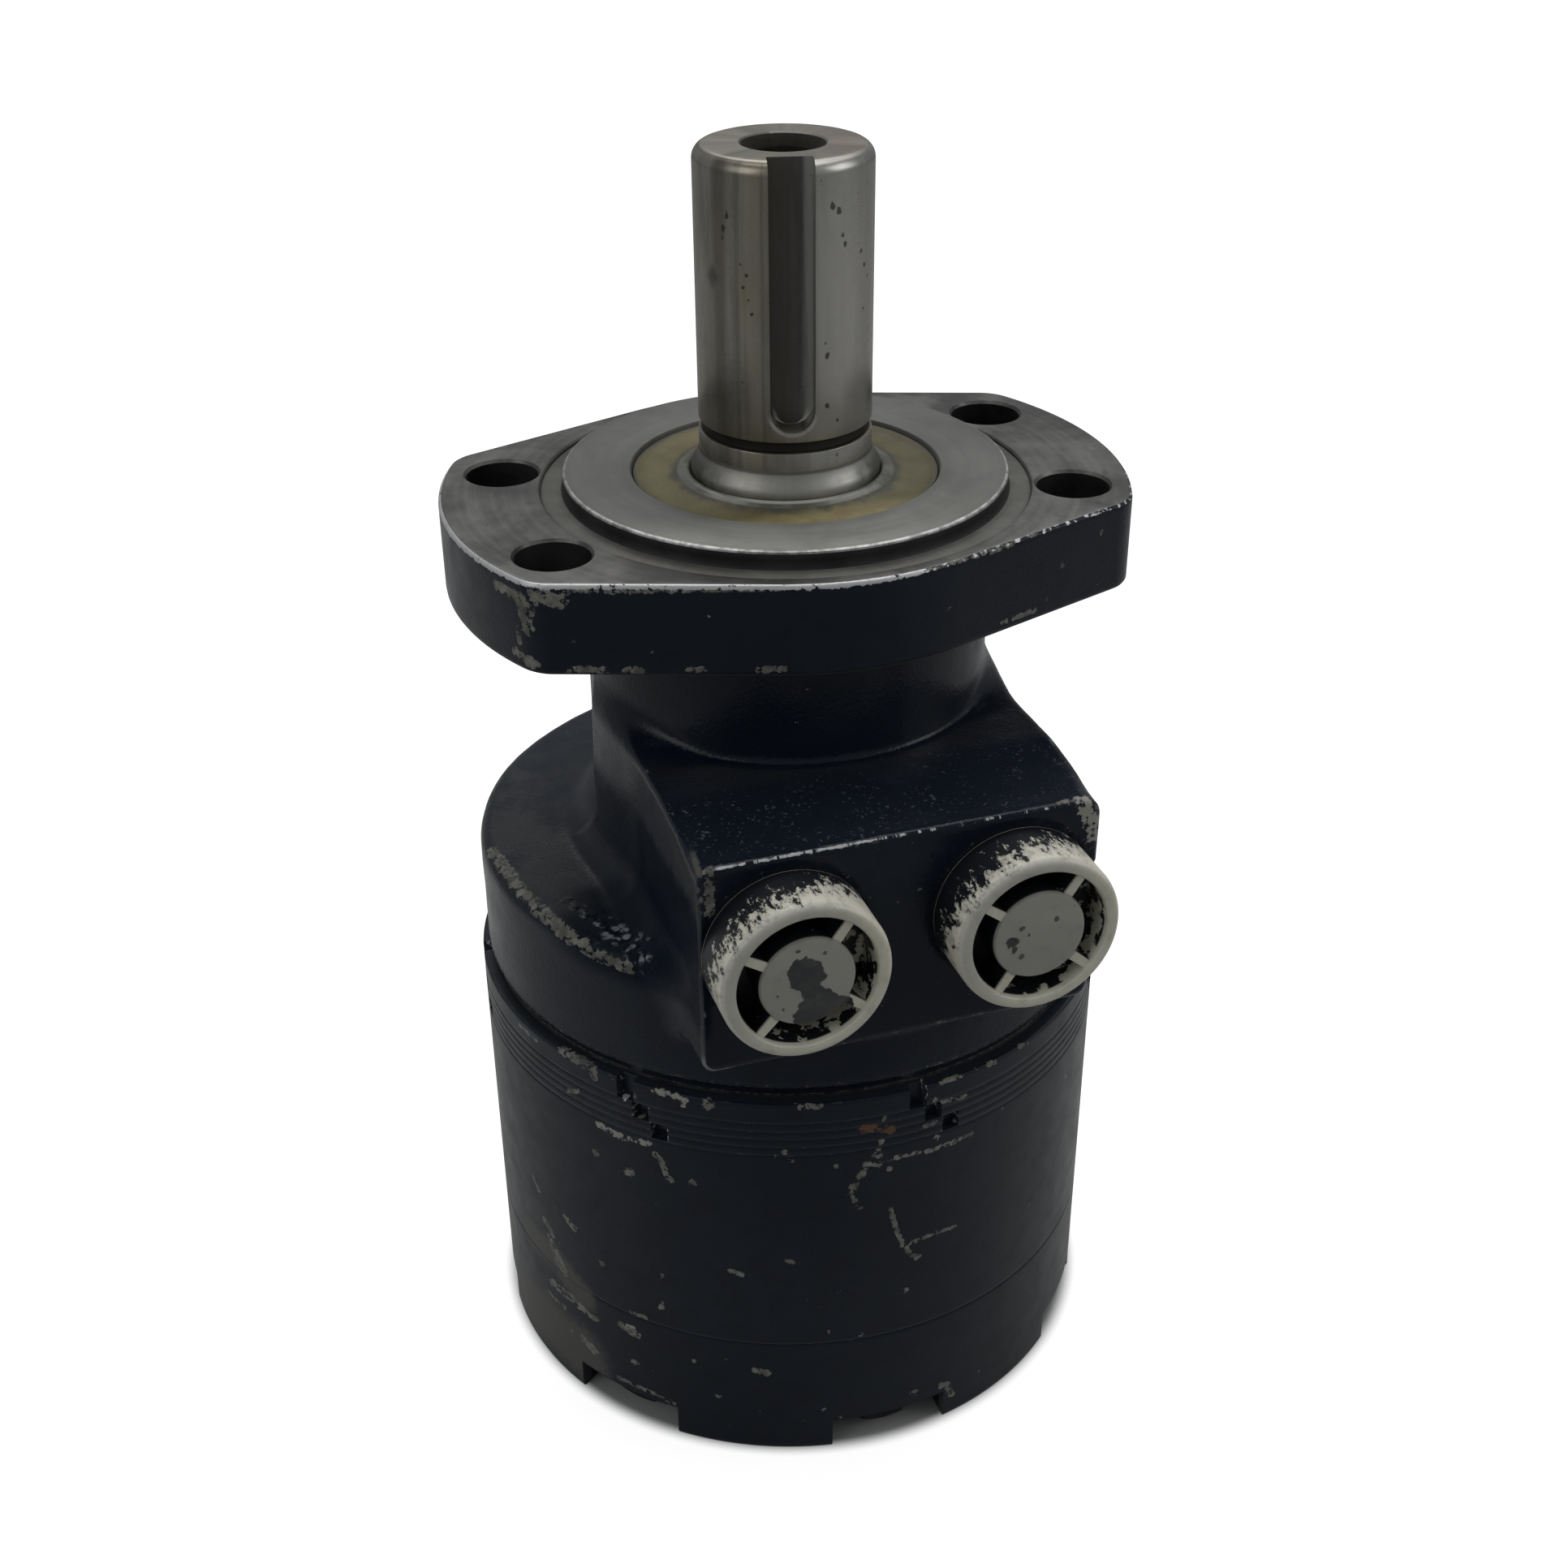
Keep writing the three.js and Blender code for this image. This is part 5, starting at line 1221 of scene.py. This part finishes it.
# ---------------------------------------------------------------- inner CAD pieces
inner = {
    "shaft_seal": black_rubber, "section_seal_1": black_rubber, "section_seal_2": black_rubber, "section_seal_3": black_rubber,
    "seal_backup_washer": inner_steel, "thrust_washer": inner_ground, "thrust_bearing": inner_bronze,
    "front_bearing": inner_bronze, "rear_bearing": inner_bronze, "drive_link": inner_steel, "rotor": inner_ground,
}
for k in range(7):
    inner[f"roller_{k + 1}"] = inner_ground
for node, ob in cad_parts.items():
    if node in inner:
        if not ob.data.materials:
            ob.data.materials.append(inner[node])
        for i in range(len(ob.material_slots)):
            ob.material_slots[i].material = inner[node]

# ---------------------------------------------------------------- floor, light, camera
floor_me = bpy.data.meshes.new("floor")
floor_me.from_pydata([(-6, -6, 0), (6, -6, 0), (6, 6, 0), (-6, 6, 0)], [], [(0, 1, 2, 3)])
floor = bpy.data.objects.new("floor", floor_me)
scene.collection.objects.link(floor)
fs = Shader("pale_floor", None)
ahead = fs.mul(fs.step(fs.y, -70, -190), fs.step(fs.m("ABSOLUTE", fs.add(fs.x, 60)), 420, 160))
fs.finish(fs.mix(fs.mul(ahead, 0.5), fs.mix(fs.step(fs.noise(180, 3), 0.3, 0.7), (0.40, 0.40, 0.40), (0.43, 0.43, 0.425)), (0.12, 0.12, 0.12)), 0.7)
# the floor glows evenly for camera rays only, fading to no glow under and just round the motor's foot: a painted
# contact shadow
seen = fs.nt.nodes.new("ShaderNodeLightPath").outputs["Is Camera Ray"]
fs.bsdf.inputs["Emission Color"].default_value = (1, 1, 1, 1)
fs.put(fs.bsdf.inputs["Emission Strength"], fs.mul(seen, fs.step(fs.radius(), 61.5, 66.0, 0.0, 0.86)))
dress(floor, fs.mat)

world = bpy.data.worlds.new("studio")
scene.world = world
world.use_nodes = True
bg = world.node_tree.nodes["Background"]
bg.inputs["Color"].default_value = (0.94, 0.97, 1.0, 1)
lp = world.node_tree.nodes.new("ShaderNodeLightPath")
mr = world.node_tree.nodes.new("ShaderNodeMapRange")
mr.inputs["To Min"].default_value, mr.inputs["To Max"].default_value = 0.24, 1.0
world.node_tree.links.new(lp.outputs["Is Camera Ray"], mr.inputs["Value"])
world.node_tree.links.new(mr.outputs[0], bg.inputs["Strength"])


def area(name, at, to, size, power, colour=(1, 1, 1), size_y=None):
    li = bpy.data.lights.new(name, "AREA")
    li.energy, li.color, li.size = power, colour, size
    if size_y:
        li.shape, li.size_y = "RECTANGLE", size_y
    ob = bpy.data.objects.new(name, li)
    scene.collection.objects.link(ob)
    ob.location = at
    ob.rotation_euler = (Vector(to) - Vector(at)).to_track_quat("-Z", "Y").to_euler()
    return ob


area("top_soft", (0.25, 0.55, 1.6), (0, 0, 0.1), 1.6, 15)
area("left_soft", (-1.3, -0.4, 1.0), (0, 0, 0.12), 0.9, 3)
area("right_soft", (1.2, -0.6, 0.9), (0, 0, 0.12), 0.8, 3)

cam_data = bpy.data.cameras.new("photo_camera")
cam_data.sensor_width, cam_data.lens = 36, 48.37
cam_data.shift_x, cam_data.shift_y = -0.00986, 0.0326
cam_data.clip_start, cam_data.clip_end = 0.01, 50
cam = bpy.data.objects.new("photo_camera", cam_data)
scene.collection.objects.link(cam)
fwd = Vector((0.27942, 0.81090, -0.51417)).normalized()
right0 = Vector((0.94544, -0.32580, 0)).normalized()
up0 = right0.cross(fwd).normalized()
roll = -0.200 * DEG
R = right0 * math.cos(roll) + up0 * math.sin(roll)
U = -right0 * math.sin(roll) + up0 * math.cos(roll)
B = -fwd
cam.matrix_world = Matrix(((R.x, U.x, B.x, -0.11836), (R.y, U.y, B.y, -0.35070), (R.z, U.z, B.z, 0.33078), (0, 0, 0, 1)))
scene.camera = cam
scene.view_settings.view_transform = "Standard"

bpy.context.view_layer.update()
